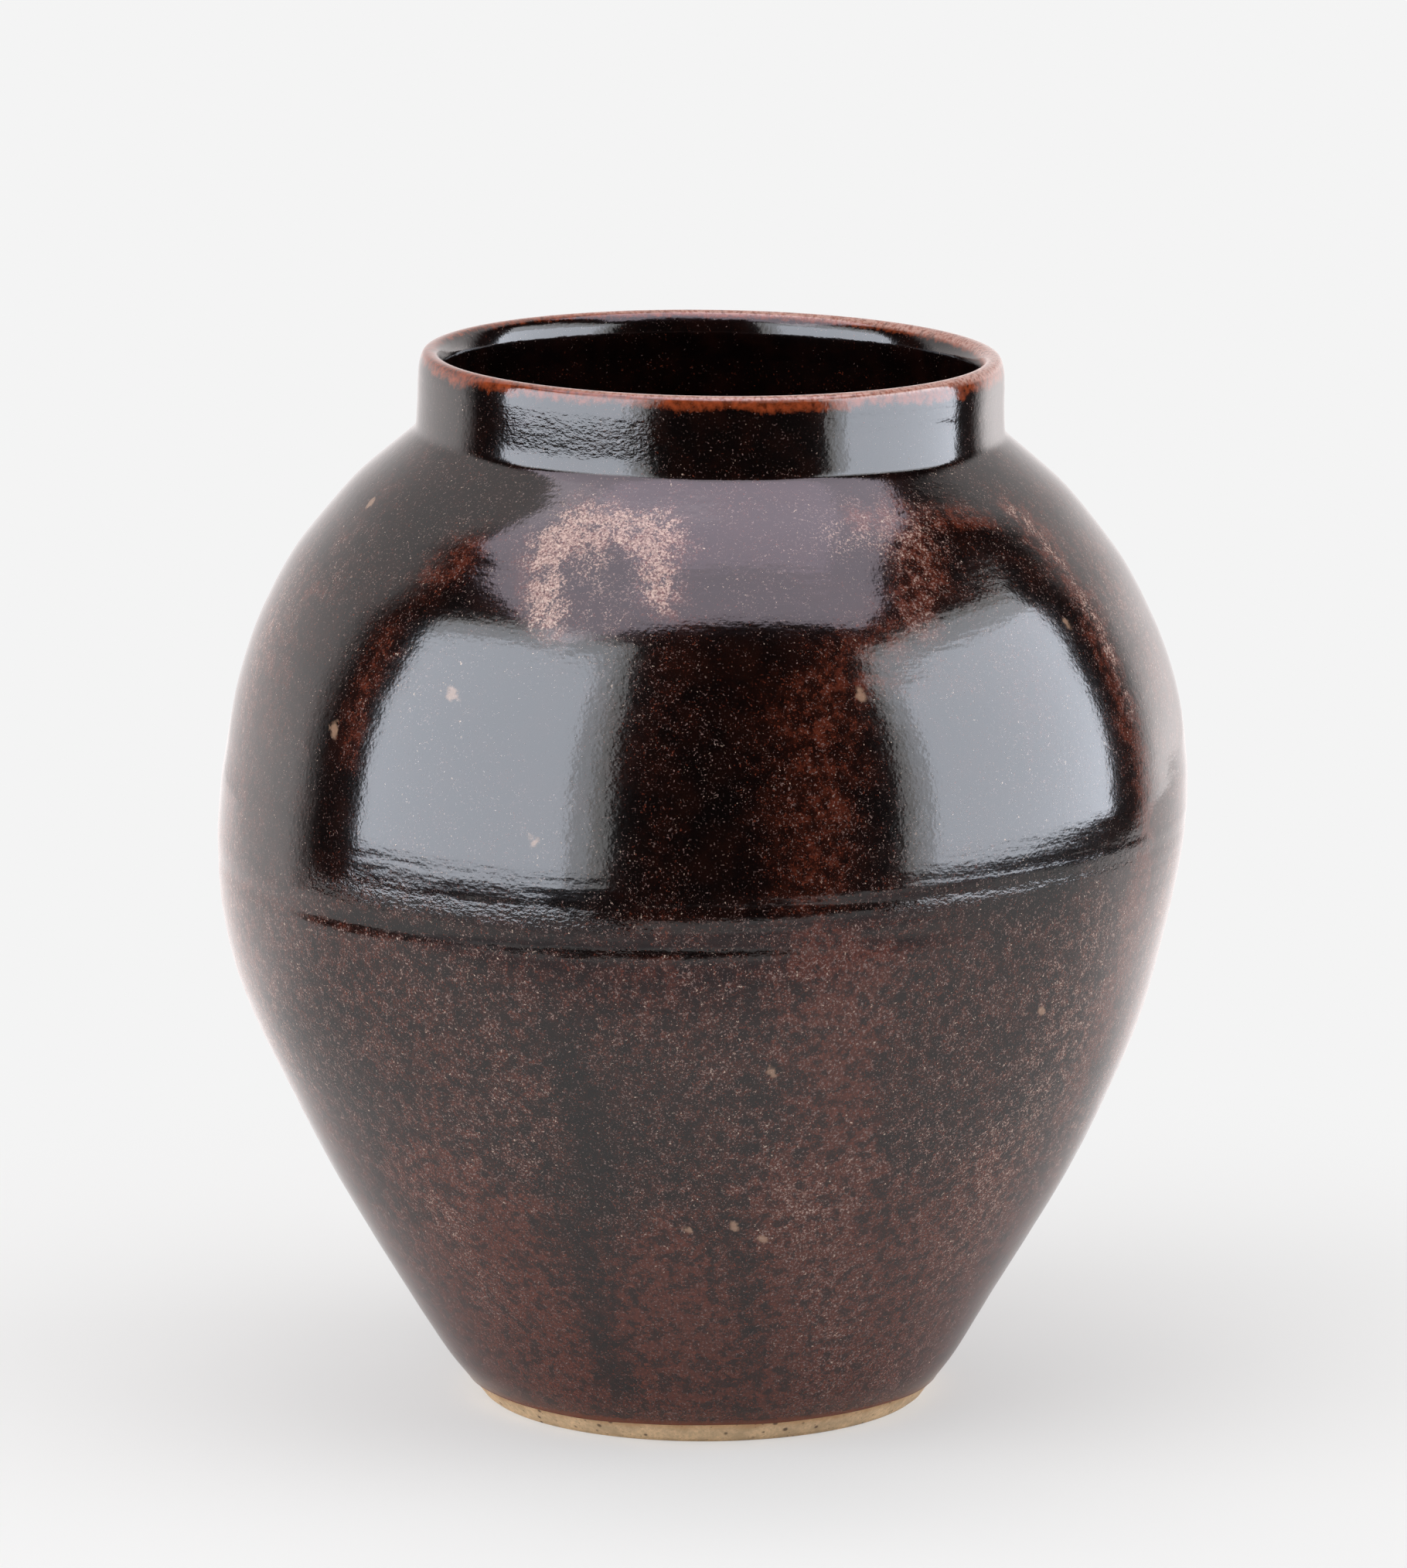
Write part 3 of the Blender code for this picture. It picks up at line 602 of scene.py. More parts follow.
def coat_line(s):
    """Surface of the outer coat: up in the mouth, over the lip, down the outside to its edge."""
    top = clay_top(s) + s.glaze_top
    outside = s.neck_radius + s.glaze_lift_at_collar
    lip = curve_through(LIP_POINTS, LIP_STATIONS)
    lip = np.column_stack((outside - lip[:, 0], top - lip[:, 1]))
    heights = np.arange(lip[-1, 1] - 0.0004, s.clay_band, -0.0002)
    clay = clay_line(s, heights)
    from_edge = (run_length(clay)[-1] - run_length(clay)) / s.glaze_taper
    full = smoothstep(0.0, 1.0, from_edge)
    thick = s.glaze_lift_at_edge + (s.glaze_lift - s.glaze_lift_at_edge) * full
    on_collar = smoothstep(root_height(s) - 0.030, root_height(s), heights)
    thick = thick + (s.glaze_lift_at_collar - s.glaze_lift) * on_collar
    body = offset(clay, thick)
    line = np.vstack((lip, body))
    z = line[:, 1]
    spacing = np.full(len(z), RING_SPACING)
    for low, high, distance in FINE_RINGS:
        spacing[(z > low) & (z < high)] = distance
    spacing[z < s.clay_band + 0.003] = EDGE_SPACING
    spacing[:LIP_STATIONS] = LIP_SPACING
    return respace(line, spacing)


def coat_edge(last, back):
    """Rounded lower edge of the coat: a half ellipse from its surface to its back."""
    down = np.array((0.0, -(last[0] - back[0]) / 2))
    middle = (last + back) / 2
    turn = np.radians(np.linspace(0.0, 180.0, 7)[1:-1])[:, None]
    return middle + (last - middle) * np.cos(turn) + down * np.sin(turn)


def coat_back(s):
    """Back of the coat, from its lower edge up along the clay to the seam."""
    heights = np.concatenate((
        np.linspace(s.clay_band, s.clay_band + 0.004, 4)[:-1],
        np.linspace(s.clay_band + 0.004, root_height(s) - 0.012, 17)[:-1],
        np.linspace(root_height(s) - 0.012, root_height(s) + 0.006, 6),
    ))
    outer = offset(clay_line(s, heights[::-1]), s.bed)[::-1]
    outer[0, 0] = clay_radius(s, s.clay_band) + s.bed / 3
    crest = clay_top(s) + s.bed * 1.5
    lip_in = s.neck_radius - s.lip_thickness
    seam = clay_top(s) - s.seam_depth
    # Points over the clay's lip, from the collar's outside down to the seam
    lip = np.array((
        (s.neck_radius + s.bed, crest - 0.0018), (s.neck_radius - 0.0004, crest - 0.0004),
        (s.neck_radius - 0.0013, crest), (lip_in + 0.0010, crest),
        (lip_in + 0.0002, crest - 0.0004), (lip_in - s.bed, crest - 0.0014),
        (s.neck_radius - s.wall_at_neck + 0.0003, seam),
    ))
    return np.vstack((outer, lip))


def coat_points(s, turn):
    """All rings of the outer coat, with ridges, waves, lumps and a wavering lower edge."""
    face = coat_line(s)
    back = coat_back(s)
    edge = coat_edge(face[-1], back[0])
    line = np.vstack((face, edge, back))
    outer = np.zeros(len(line))
    outer[:len(face)] = 1.0
    z = line[:, 1]
    on_body = outer * smoothstep(s.clay_band, s.clay_band + 0.006, z)
    on_body *= 1 - smoothstep(clay_top(s) - 0.008, clay_top(s) - 0.004, z)
    on_body[:MOUTH_STATIONS] = 0.0
    points = ring_points(line, turn)
    rise = ridge_rise(turn, z) + wave_rise(turn, z)
    for number, (size, amount_up) in enumerate(LUMP_SIZES):
        rise += amount_up * soft_noise(points, size, 40 + number)
    rise = rise * on_body[:, None]
    azimuth = azimuths(turn)
    on_outside = slice(MOUTH_STATIONS, len(face))
    rise[on_outside] += collar_lean(s, azimuth, z[on_outside])
    points = lift(points, line, turn, rise)
    waver = sum(share * np.sin(number * azimuth + phase) for number, phase, share in EDGE_WAVES)
    fade = 1 - smoothstep(s.clay_band + 0.001, s.clay_band + 0.012, z)
    shift = s.edge_wave * waver[None, :] * fade[:, None]
    lean = (clay_radius(s, z + 0.0005) - clay_radius(s, z - 0.0005)) / 0.001
    points[..., 2] += shift
    points[..., 0] += shift * lean[:, None] * np.cos(turn)
    points[..., 1] += shift * lean[:, None] * np.sin(turn)
    return points


def stroke_masks(points, radius, azimuth, height):
    """Strength of each kind of stroke: a bell curve of the distance along the skin to its line."""
    masks = {kind: np.zeros(height.shape) for kind in ("bloom", "rust", "pool", "pitted")}
    ragged = soft_noise(points, 0.0050, 7) * 0.30 + soft_noise(points, 0.0120, 8) * 0.25
    for kind, half_width, strength, path in STROKES:
        middle = math.radians(path[len(path) // 2][0])
        across = half_turn(azimuth - middle) * radius
        path = np.array(path)
        knots = np.column_stack((np.radians(path[:, 0]) - middle, path[:, 1]))
        nearest = np.full(height.shape, 1.0)
        for start, stop in zip(knots[:-1], knots[1:]):
            begin = np.stack((start[0] * radius, np.full(height.shape, start[1])), axis=-1)
            climb = np.full(height.shape, stop[1] - start[1])
            run = np.stack(((stop[0] - start[0]) * radius, climb), axis=-1)
            here = np.stack((across, height), axis=-1) - begin
            share = np.clip((here * run).sum(-1) / (run * run).sum(-1), 0.0, 1.0)
            nearest = np.minimum(nearest, np.linalg.norm(here - run * share[..., None], axis=-1))
        mask = strength * np.exp(-(nearest / (half_width * (1 + ragged))) ** 2)
        masks[kind] = np.maximum(masks[kind], mask)
    return masks


def spot_mask(azimuth, radius, height):
    """Pale iron spots: 1 inside half a spot's radius, fading to 0 at 1.6 times its radius."""
    spots = np.zeros(height.shape)
    for centre, level, size in SPOTS:
        across = half_turn(azimuth - math.radians(centre)) * radius
        distance = np.hypot(across, height - level)
        spots = np.maximum(spots, 1 - smoothstep(size * 0.5, size * 1.6, distance))
    return spots


def lip_masks(s, points, in_mouth):
    """Thin glaze at the lip, frayed into streaks outside, and the crest: by depth under the top."""
    level_top = clay_top(s) + s.glaze_top - points[..., 0] / s.neck_radius * s.rim_tilt
    depth = level_top - points[..., 2]
    streak = soft_noise(points * (1.0, 1.0, 0.15), 0.0022, 14) * 0.5
    streak = streak + soft_noise(points, 0.008, 15) * 0.5
    thin = 1 - smoothstep(0.0022, 0.0056, depth + 0.0014 * streak)
    thin = thin * (1 - in_mouth) + in_mouth * (1 - smoothstep(0.0006, 0.0030, depth))
    return thin, 1 - smoothstep(0.0003, 0.0011, depth)


def paint_coat(s, piece, points):
    """Pattern of the outer coat: crystals, rust, thin glaze at lip and edge, pools, pits and spots.

    Crystals and rust have an even shade, a swing of soft noise and more of both on the low
    body.  Pools, the collar and the mouth thin them out, and the strokes are laid over them.
    Down into the mouth the pool colour is laid on as painted shade.
    """
    z = points[..., 2]
    radius = np.hypot(points[..., 0], points[..., 1])
    azimuth = np.arctan2(points[..., 0], -points[..., 1])
    masks = stroke_masks(points, radius, azimuth, z)
    low = 1 - smoothstep(LOW_BODY_HEIGHT - 0.01, LOW_BODY_HEIGHT + 0.01, z)
    near_foot = 1 - smoothstep(0.030, 0.090, z)
    on_collar = smoothstep(root_height(s) - 0.003, root_height(s) + 0.003, z)
    in_mouth = np.zeros(z.shape)
    in_mouth[:MOUTH_STATIONS] = 1.0
    into_mouth = in_mouth * smoothstep(0.0, 0.85, (clay_top(s) - z) / s.seam_depth)
    keep = (1 - masks["pool"] * 0.5) * (1 - 0.6 * on_collar)
    in_body = 1 - 0.75 * into_mouth

    low_bloom = LOW_BODY_BLOOM * low * (1 - 0.7 * near_foot)
    bloom = BLOOM_SHADE * (1 - 0.8 * near_foot) + BLOOM_SWING * soft_noise(points, 0.022, 11)
    bloom = np.clip((bloom + low_bloom) * keep * in_body + masks["bloom"], 0.0, 1.0)

    streaks = soft_noise(points * (1.0, 1.0, 0.22), 0.012, 12)
    rust = RUST_SHADE + RUST_SWING * (0.6 * soft_noise(points, 0.026, 13) + 0.7 * streaks)
    rust = rust + LOW_BODY_RUST * low * (1 + near_foot)
    bands = 1 + 0.4 * soft_noise(points * (1.0, 1.0, 4.0), 0.016, 16)
    rust = np.clip(rust * keep * in_body + masks["rust"] * bands, 0.0, 1.0)

    thin, crest = lip_masks(s, points, in_mouth)
    patterns = {
        "bloom": bloom, "rust": rust,
        # pools from the strokes, and painted shade that deepens down into the mouth
        "pool": np.maximum(masks["pool"] * 0.3, INSIDE_PAINTED_SHADE * into_mouth),
        "pitted": masks["pitted"], "spots": spot_mask(azimuth, radius, z), "thin": thin,
        "crest": crest, "edge": 1 - smoothstep(s.clay_band + 0.0002, s.clay_band + 0.0016, z),
    }
    for name, values in patterns.items():
        paint(piece, name, values)


def liner_lines(s):
    """Surface of the liner from the middle of the floor to the seam, and its back, seam to axis."""
    seam = clay_top(s) - s.seam_depth - 0.00003
    joint = root_height(s) + 0.0012
    low = floor_top(s) + s.floor_curve_height
    heights = np.linspace(joint, low, 110)
    wall = clay_inside(s, clay_line(s, heights))
    neck = s.neck_radius - s.wall_at_neck
    blend = smoothstep(joint - 0.012, joint, wall[:, 1])
    wall[:, 0] = wall[:, 0] * (1 - blend) + np.minimum(wall[:, 0], neck) * blend
    wall = wall[wall[:, 1] > low]
    at_seam = s.neck_radius + s.glaze_lift_at_collar - LIP_POINTS[0][0]
    mouth = np.array([(at_seam + s.liner_lift, seam)])
    rise = wall[-2] - wall[-1]
    skin_line = np.vstack((mouth, wall, floor_line(s, wall[-1], rise / np.linalg.norm(rise), 24)))
    inside = offset(skin_line, -s.liner_lift)
    inside[0] = (mouth[0, 0] - s.liner_lift, seam)
    back = offset(skin_line[::4], -s.bed)
    back[0, 1] = seam
    return inside[::-1], back


def liner_points(s, turn):
    """All rings of the liner, with throwing waves inside and a spiral on the floor."""
    inside, back = liner_lines(s)
    inside = respace(inside, np.full(len(inside), LINER_SPACING))
    line = np.vstack((inside[1:], back[:-1]))
    points = ring_points(line, turn)
    z = line[:, 1]
    face = np.zeros(len(line))
    face[:len(inside) - 1] = 1.0
    low = floor_top(s)
    on_wall = face * smoothstep(low + 0.015, low + 0.03, z)
    on_wall *= 1 - smoothstep(root_height(s) - 0.02, root_height(s), z)
    rise = wave_rise(turn, z) * LINER_WAVE_SHARE * on_wall[:, None]
    on_floor = face * (1 - smoothstep(low + 0.002, low + 0.015, z))
    pitch, height = FLOOR_SPIRAL
    swirl = line[:, 0, None] / pitch * math.tau - azimuths(turn)[None, :]
    from_middle = smoothstep(0.004, 0.02, line[:, 0])
    rise += height * np.sin(swirl) * on_floor[:, None] * from_middle[:, None]
    size, height = LINER_LUMPS
    under_collar = 1 - smoothstep(0.22, 0.24, z)
    rise += height * soft_noise(points, size, 51) * face[:, None] * under_collar[:, None]
    return lift(points, line, turn, np.minimum(rise, LINER_RISE_LIMIT))


def bowl_line(s):
    """Bowl: middle of the floor, up the inside, across the joint, down the outside, foot, axis."""
    joint = s.belly_height - s.belly_joint_drop
    low = floor_top(s) + s.floor_curve_height
    outside = clay_line(s, np.linspace(joint, s.clay_band + 0.004, 70))
    band = clay_line(s, np.linspace(s.clay_band + 0.004, s.foot_edge_round, 30)[1:])
    wall = clay_inside(s, outside)
    wall = wall[wall[:, 1] > low]
    wall[0, 1] = joint
    rise = wall[-2] - wall[-1]
    inside = np.vstack((wall, floor_line(s, wall[-1], rise / np.linalg.norm(rise), 16)))[::-1]
    middle = (outside[0] + inside[-1]) / 2
    half = (outside[0] - inside[-1]) / 2 * TONGUE_WIDTH_SHARE
    groove = np.array((middle - half, middle - (0.0, s.tongue_height), middle + half))
    turn = np.radians(np.linspace(0.0, -90.0, 7)[1:])
    centre = (s.foot_radius - s.foot_edge_round, s.foot_edge_round)
    edge = np.column_stack((centre[0] + s.foot_edge_round * np.cos(turn),
                            centre[1] + s.foot_edge_round * np.sin(turn)))
    ring_in = s.foot_radius - s.foot_ring_width
    ring = np.linspace(edge[-1], (ring_in, 0.0), 8)[1:]
    slope = np.linspace((ring_in, 0.0), (ring_in - s.recess_slope, s.recess_depth), 4)[1:]
    recess = np.linspace(slope[-1], (0.0, s.recess_depth), 40)[1:-1]
    return np.vstack((inside[1:], groove, outside, band, edge, ring, slope, recess))


def bowl_points(s, turn):
    """All rings of the bowl, with a soft unevenness on the bare band and a turned spiral below."""
    line = bowl_line(s)
    points = ring_points(line, turn)
    z = line[:, 1]
    outer = (line[:, 0] > s.foot_radius - s.foot_edge_round * 0.3) & (z < s.clay_band + 0.004)
    size, height = BAND_LUMPS
    rise = -height * (1 + soft_noise(points, size, 61)) * outer[:, None]
    under = (np.abs(z - s.recess_depth) < 1e-6) & (line[:, 0] < s.foot_radius - s.foot_ring_width)
    pitch, height = RECESS_SPIRAL
    swirl = line[:, 0, None] / pitch * math.tau + azimuths(turn)[None, :]
    fade = smoothstep(0.001, 0.006, line[:, 0])
    rise += height * (np.sin(swirl) - 1) * (under * fade)[:, None]
    return lift(points, line, turn, rise)


def turn_steps(s):
    """Angle of each step round the axis."""
    return np.arange(s.steps) * (math.tau / s.steps)


def fill_in(tree, node, values):
    """Set or link a node's inputs by name or number."""
    for key, value in values.items():
        if isinstance(value, bpy.types.NodeSocket):
            tree.links.new(value, node.inputs[key])
        else:
            node.inputs[key].default_value = value


def place(tree, kind, inputs=None, **settings):
    """Add a node with its settings, and set or link its inputs by name or number."""
    made = tree.nodes.new(kind)
    for name, value in settings.items():
        setattr(made, name, value)
    fill_in(tree, made, inputs or {})
    return made


def sums(tree, operation, first, second=0.0, clamp=False):
    """Result of an arithmetic operation on two numbers."""
    pair = {0: first, 1: second}
    return place(tree, "ShaderNodeMath", pair, operation=operation, use_clamp=clamp).outputs[0]


def times(tree, first, second, clamp=False):
    """Product of two numbers."""
    return sums(tree, "MULTIPLY", first, second, clamp)


def choose(tree, share, first, second):
    """Number between two by a share."""
    pair = {0: share, 2: first, 3: second}
    return place(tree, "ShaderNodeMix", pair, data_type="FLOAT").outputs[0]


def blend_colours(tree, share, first, second):
    """Colour between two by a share."""
    pair = {0: share, 6: first, 7: second}
    return place(tree, "ShaderNodeMix", pair, data_type="RGBA", clamp_factor=True).outputs[2]


def remap(tree, value, low, high, out_low=0.0, out_high=1.0):
    """Number carried smoothly from one range to another."""
    ends = {"Value": value, "From Min": low, "From Max": high,
            "To Min": out_low, "To Max": out_high}
    return place(tree, "ShaderNodeMapRange", ends, interpolation_type="SMOOTHSTEP").outputs[0]


def noise(tree, where, size, detail=2.0, roughness=0.5):
    """Noise with lumps of this size in metres."""
    values = {"Vector": where, "Scale": 1.0 / size, "Detail": detail, "Roughness": roughness}
    return place(tree, "ShaderNodeTexNoise", values).outputs["Fac"]


def stored(tree, name):
    """Number that a piece stores for each of its points."""
    return place(tree, "ShaderNodeAttribute", attribute_name=name).outputs["Fac"]


def rgba(values):
    """Colour with a full alpha."""
    return (*values, 1.0)


def new_group(name, given, results):
    """Empty node group with number inputs, their defaults, and number outputs."""
    tree = bpy.data.node_groups.new(name, "ShaderNodeTree")
    for label, value in given:
        socket = tree.interface.new_socket(label, in_out="INPUT", socket_type="NodeSocketFloat")
        socket.default_value = value
    for label in results:
        tree.interface.new_socket(label, in_out="OUTPUT", socket_type="NodeSocketFloat")
    given_to = tree.nodes.new("NodeGroupInput").outputs
    return tree, given_to, tree.nodes.new("NodeGroupOutput").inputs


def grain_group():
    """Node group of round grains: one in each cell that the density lets through."""
    tree, given, out = new_group(
        "grains", (("Size", 0.001), ("Density", 0.5), ("Small", 0.2), ("Large", 0.5)), ("Mask",))
    where = place(tree, "ShaderNodeTexCoord").outputs["Object"]
    scale = sums(tree, "DIVIDE", 1.0, given["Size"])
    cells = place(tree, "ShaderNodeTexVoronoi", {"Vector": where, "Scale": scale})
    chance = place(tree, "ShaderNodeSeparateColor", {"Color": cells.outputs["Color"]})
    there = sums(tree, "LESS_THAN", chance.outputs[0], given["Density"])
    reach = choose(tree, chance.outputs[1], given["Small"], given["Large"])
    inside = sums(tree, "SUBTRACT", reach, cells.outputs["Distance"])
    round_edge = times(tree, inside, 6.0, clamp=True)
    tree.links.new(times(tree, there, round_edge), out["Mask"])
    return tree


def dust_group():
    """Node group of ragged specks: where noise passes the level that leaves the wanted cover.

    The level is the noise's middle plus its spread times the normal curve's point for that
    cover, near 4.91 times the difference of the two shares to the power 0.14.
    """
    tree, given, out = new_group("dust", (("Size", 0.001), ("Cover", 0.1)), ("Mask", "Tone"))
    where = place(tree, "ShaderNodeTexCoord").outputs["Object"]
    scale = sums(tree, "DIVIDE", 1.0, given["Size"])
    specks = place(tree, "ShaderNodeTexNoise", {
        "Vector": where, "Scale": scale, "Detail": 2.5, "Roughness": 0.75}).outputs["Fac"]
    cover = sums(tree, "ADD", given["Cover"], 0.0, clamp=True)
    bare = sums(tree, "POWER", sums(tree, "SUBTRACT", 1.0, cover, clamp=True), 0.14)
    covered = sums(tree, "POWER", cover, 0.14)
    level = times(tree, sums(tree, "SUBTRACT", bare, covered), 0.38)
    level = sums(tree, "ADD", level, 0.5)
    ends = {"Value": specks, "From Min": sums(tree, "SUBTRACT", level, 0.02),
            "From Max": sums(tree, "ADD", level, 0.03)}
    mask = place(tree, "ShaderNodeMapRange", ends, interpolation_type="SMOOTHSTEP").outputs[0]
    moved = place(tree, "ShaderNodeVectorMath", {0: where, 1: (0.31, 0.17, 0.23)}, operation="ADD")
    shade = place(tree, "ShaderNodeTexNoise", {
        "Vector": moved.outputs[0], "Scale": scale, "Detail": 0.0})
    tree.links.new(mask, out["Mask"])
    tree.links.new(remap(tree, shade.outputs["Fac"], 0.34, 0.66), out["Tone"])
    return tree


def grains(tree, size, density, small, large):
    """Mask of round grains."""
    group = bpy.data.node_groups.get("grains") or grain_group()
    made = place(tree, "ShaderNodeGroup", node_tree=group)
    fill_in(tree, made, {"Size": size, "Density": density, "Small": small, "Large": large})
    return made.outputs["Mask"]


def dust(tree, size, cover):
    """Mask and tone of ragged specks."""
    group = bpy.data.node_groups.get("dust") or dust_group()
    made = place(tree, "ShaderNodeGroup", node_tree=group)
    fill_in(tree, made, {"Size": size, "Cover": cover})
    return made.outputs["Mask"], made.outputs["Tone"]


def new_material(name):
    """Empty material with a Principled shader, its tree and the shader."""
    made = bpy.data.materials.new(name)
    made.use_nodes = True
    return made, made.node_tree, made.node_tree.nodes["Principled BSDF"]


def weighed(tree, *parts):
    """Sum of masks, each times its weight."""
    total = 0.0
    for mask, weight in parts:
        total = sums(tree, "ADD", times(tree, mask, weight), total)
    return total


def speckle(tree, body, cover, specks, colour_now):
    """Colour with ragged specks laid over it, each as strong as its tone says; and their mask."""
    size, faint, strong = specks
    mask, tone = dust(tree, size, cover)
    share = times(tree, mask, remap(tree, tone, 0.0, 1.0, faint, strong))
    return blend_colours(tree, share, body, colour_now), mask


def stretched(tree, where, rise):
    """Place whose height counts this many times, for noises that lie flat."""
    values = {"Vector": where, "Scale": (1.0, 1.0, rise)}
    return place(tree, "ShaderNodeMapping", values).outputs[0]


def glaze_material(c):
    """Dark iron glaze: brown clouds, rusty runs, fine crystals, broken rust at lip and edge."""
    made, tree, shader = new_material(GLAZE_NAME)
    where = place(tree, "ShaderNodeTexCoord").outputs["Object"]
    bloom, rust, pool, pitted = (stored(tree, name) for name in ("bloom", "rust", "pool", "pitted"))
    thin, crest, edge, spots = (stored(tree, name) for name in ("thin", "crest", "edge", "spots"))
    fine = noise(tree, where, *GLAZE_FINE)

    drift = remap(tree, noise(tree, where, *GLAZE_DRIFT), 0.34, 0.66, 0.40, 1.60)
    bloom_here = times(tree, bloom, drift, clamp=True)
    rust_here = times(tree, rust, drift, clamp=True)
    cloudy = remap(tree, noise(tree, where, *GLAZE_CLOUDS), 0.40, 0.70)
    body = blend_colours(tree, cloudy, rgba(c.dark), rgba(c.brown))
    tint = times(tree, sums(tree, "POWER", rust_here, 1.6), remap(tree, fine, 0.3, 0.7, 0.55, 1.0))
    body = blend_colours(tree, tint, body, rgba(c.rust))
    # pooled glaze on the body; on the liner and down the mouth this is painted shade
    body = blend_colours(tree, pool, body, rgba(c.pool))

    red_cover = times(tree, rust_here, 0.30)
    body, _ = speckle(tree, body, red_cover, RED_SPECKS, rgba(c.crystal_red))
    dull_cover = weighed(tree, (bloom_here, 0.66), (rust_here, 0.06))
    bloomed = remap(tree, bloom_here, 0.10, 0.60)
    paler = blend_colours(tree, bloomed, rgba(c.crystal_dull), rgba(c.crystal))
    body, _ = speckle(tree, body, dull_cover, DULL_SPECKS, paler)
    pale_cover = times(tree, bloom_here, 0.13)
    body, pale = speckle(tree, body, pale_cover, PALE_SPECKS, rgba(c.crystal_pale))

    broken = weighed(tree, (thin, 0.70), (noise(tree, where, *LIP_MOTTLE), 1.00))
    broken = times(tree, remap(tree, broken, 0.86, 1.42), remap(tree, thin, 0.0, 0.2))
    body = blend_colours(tree, broken, body, rgba(c.lip))
    on_crest = times(tree, crest, remap(tree, fine, 0.35, 0.6, 0.25, 0.9))
    body = blend_colours(tree, on_crest, body, rgba(c.lip_pale))
    body = blend_colours(tree, times(tree, edge, 0.8), body, rgba(c.edge))
    in_spots = remap(tree, times(tree, spots, drift), 0.20, 0.95, 0.0, 0.65)
    body = blend_colours(tree, in_spots, body, rgba(c.spot))

    pits = noise(tree, stretched(tree, where, 1.7), *PIT_NOISE)
    pits = times(tree, pits, times(tree, pitted, PIT_WEIGHT))
    height = weighed(
        tree, (noise(tree, where, 0.0010, 1.0), 1.2), (noise(tree, where, 0.0036, 1.0), 1.5),
        (noise(tree, stretched(tree, where, 5.0), 0.0080, 2.0), 2.0), (pale, 0.12))
    bump = place(tree, "ShaderNodeBump", {
        "Strength": 1.0, "Distance": GLAZE_BUMP, "Height": sums(tree, "ADD", height, pits)})
    roughness = weighed(tree, (bloom_here, 0.16), (pale, 0.10), (pitted, 0.05))
    tree.links.new(body, shader.inputs["Base Color"])
    tree.links.new(sums(tree, "ADD", roughness, c.glaze_roughness), shader.inputs["Roughness"])
    tree.links.new(bump.outputs[0], shader.inputs["Normal"])
    shader.inputs["IOR"].default_value = c.glaze_ior
    return made


def clay_material(c, name):
    """Bare fired clay: sandy tooth, iron specks, a flush beside the glaze, greyer at the table."""
    made, tree, shader = new_material(name)
    where = place(tree, "ShaderNodeTexCoord").outputs["Object"]
    level = place(tree, "ShaderNodeSeparateXYZ", {0: where}).outputs["Z"]
    clouds = noise(tree, where, *CLAY_CLOUDS)
    sand = noise(tree, where, *CLAY_SAND)
    worn = tuple(value * WORN_SHARE for value in c.clay)
    body = blend_colours(tree, remap(tree, clouds, 0.35, 0.70), rgba(c.clay), rgba(worn))
    body = blend_colours(tree, remap(tree, sand, 0.36, 0.70, 0.0, 0.70), body, rgba(worn))
    wavering = sums(tree, "ADD", level, times(tree, sums(tree, "SUBTRACT", clouds, 0.5), 0.003))
    flushed = remap(tree, wavering, 0.0030, 0.0058, 0.0, 0.65)
    body = blend_colours(tree, flushed, body, rgba(c.clay_flush))
    specks = grains(tree, *IRON_GRAINS)
    sandy = grains(tree, *SAND_GRAINS)
    body = blend_colours(tree, times(tree, specks, 0.85), body, rgba(c.clay_iron))
    body = blend_colours(tree, times(tree, sandy, 0.45), body, rgba(c.clay_iron))
    height = sums(tree, "SUBTRACT", sand, times(tree, specks, 0.8))
    bump = place(tree, "ShaderNodeBump", {"Strength": 1.0, "Distance": CLAY_BUMP, "Height": height})
    tree.links.new(body, shader.inputs["Base Color"])
    tree.links.new(bump.outputs[0], shader.inputs["Normal"])
    shader.inputs["Roughness"].default_value = c.clay_roughness
    shader.inputs["IOR"].default_value = CLAY_IOR
    return made


def finish_piece(piece, material, nodes):
    """Give a new piece its material and body, and hide the solids that it stands for."""
    piece.data.materials.append(material)
    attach(piece, "root")
    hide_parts(*nodes)


def end_place(end):
    """Place on the floor of a panel's end, from its azimuth and distance."""
    azimuth = math.radians(end[0])
    return np.array((math.sin(azimuth), -math.cos(azimuth), 0.0)) * end[1]


def add_lamp(name, middle, across, up, radiance, tint, glossy_only):
    """Rectangular area lamp from its middle and its two sides, facing across times up, reversed."""
    width, high = np.linalg.norm(across), np.linalg.norm(up)
    data = bpy.data.lights.new(name, "AREA")
    data.shape = "RECTANGLE"
    data.size = width
    data.size_y = high
    data.energy = math.pi * width * high * radiance
    data.color = tint
    lamp = bpy.data.objects.new(name, data)
    x_axis, y_axis = across / width, up / high
    axes = np.column_stack((x_axis, y_axis, np.cross(x_axis, y_axis)))
    lamp.matrix_world = Matrix.Translation(middle) @ Matrix(axes.tolist()).to_4x4()
    lamp.visible_camera = False
    lamp.visible_diffuse = not glossy_only
    bpy.context.scene.collection.objects.link(lamp)


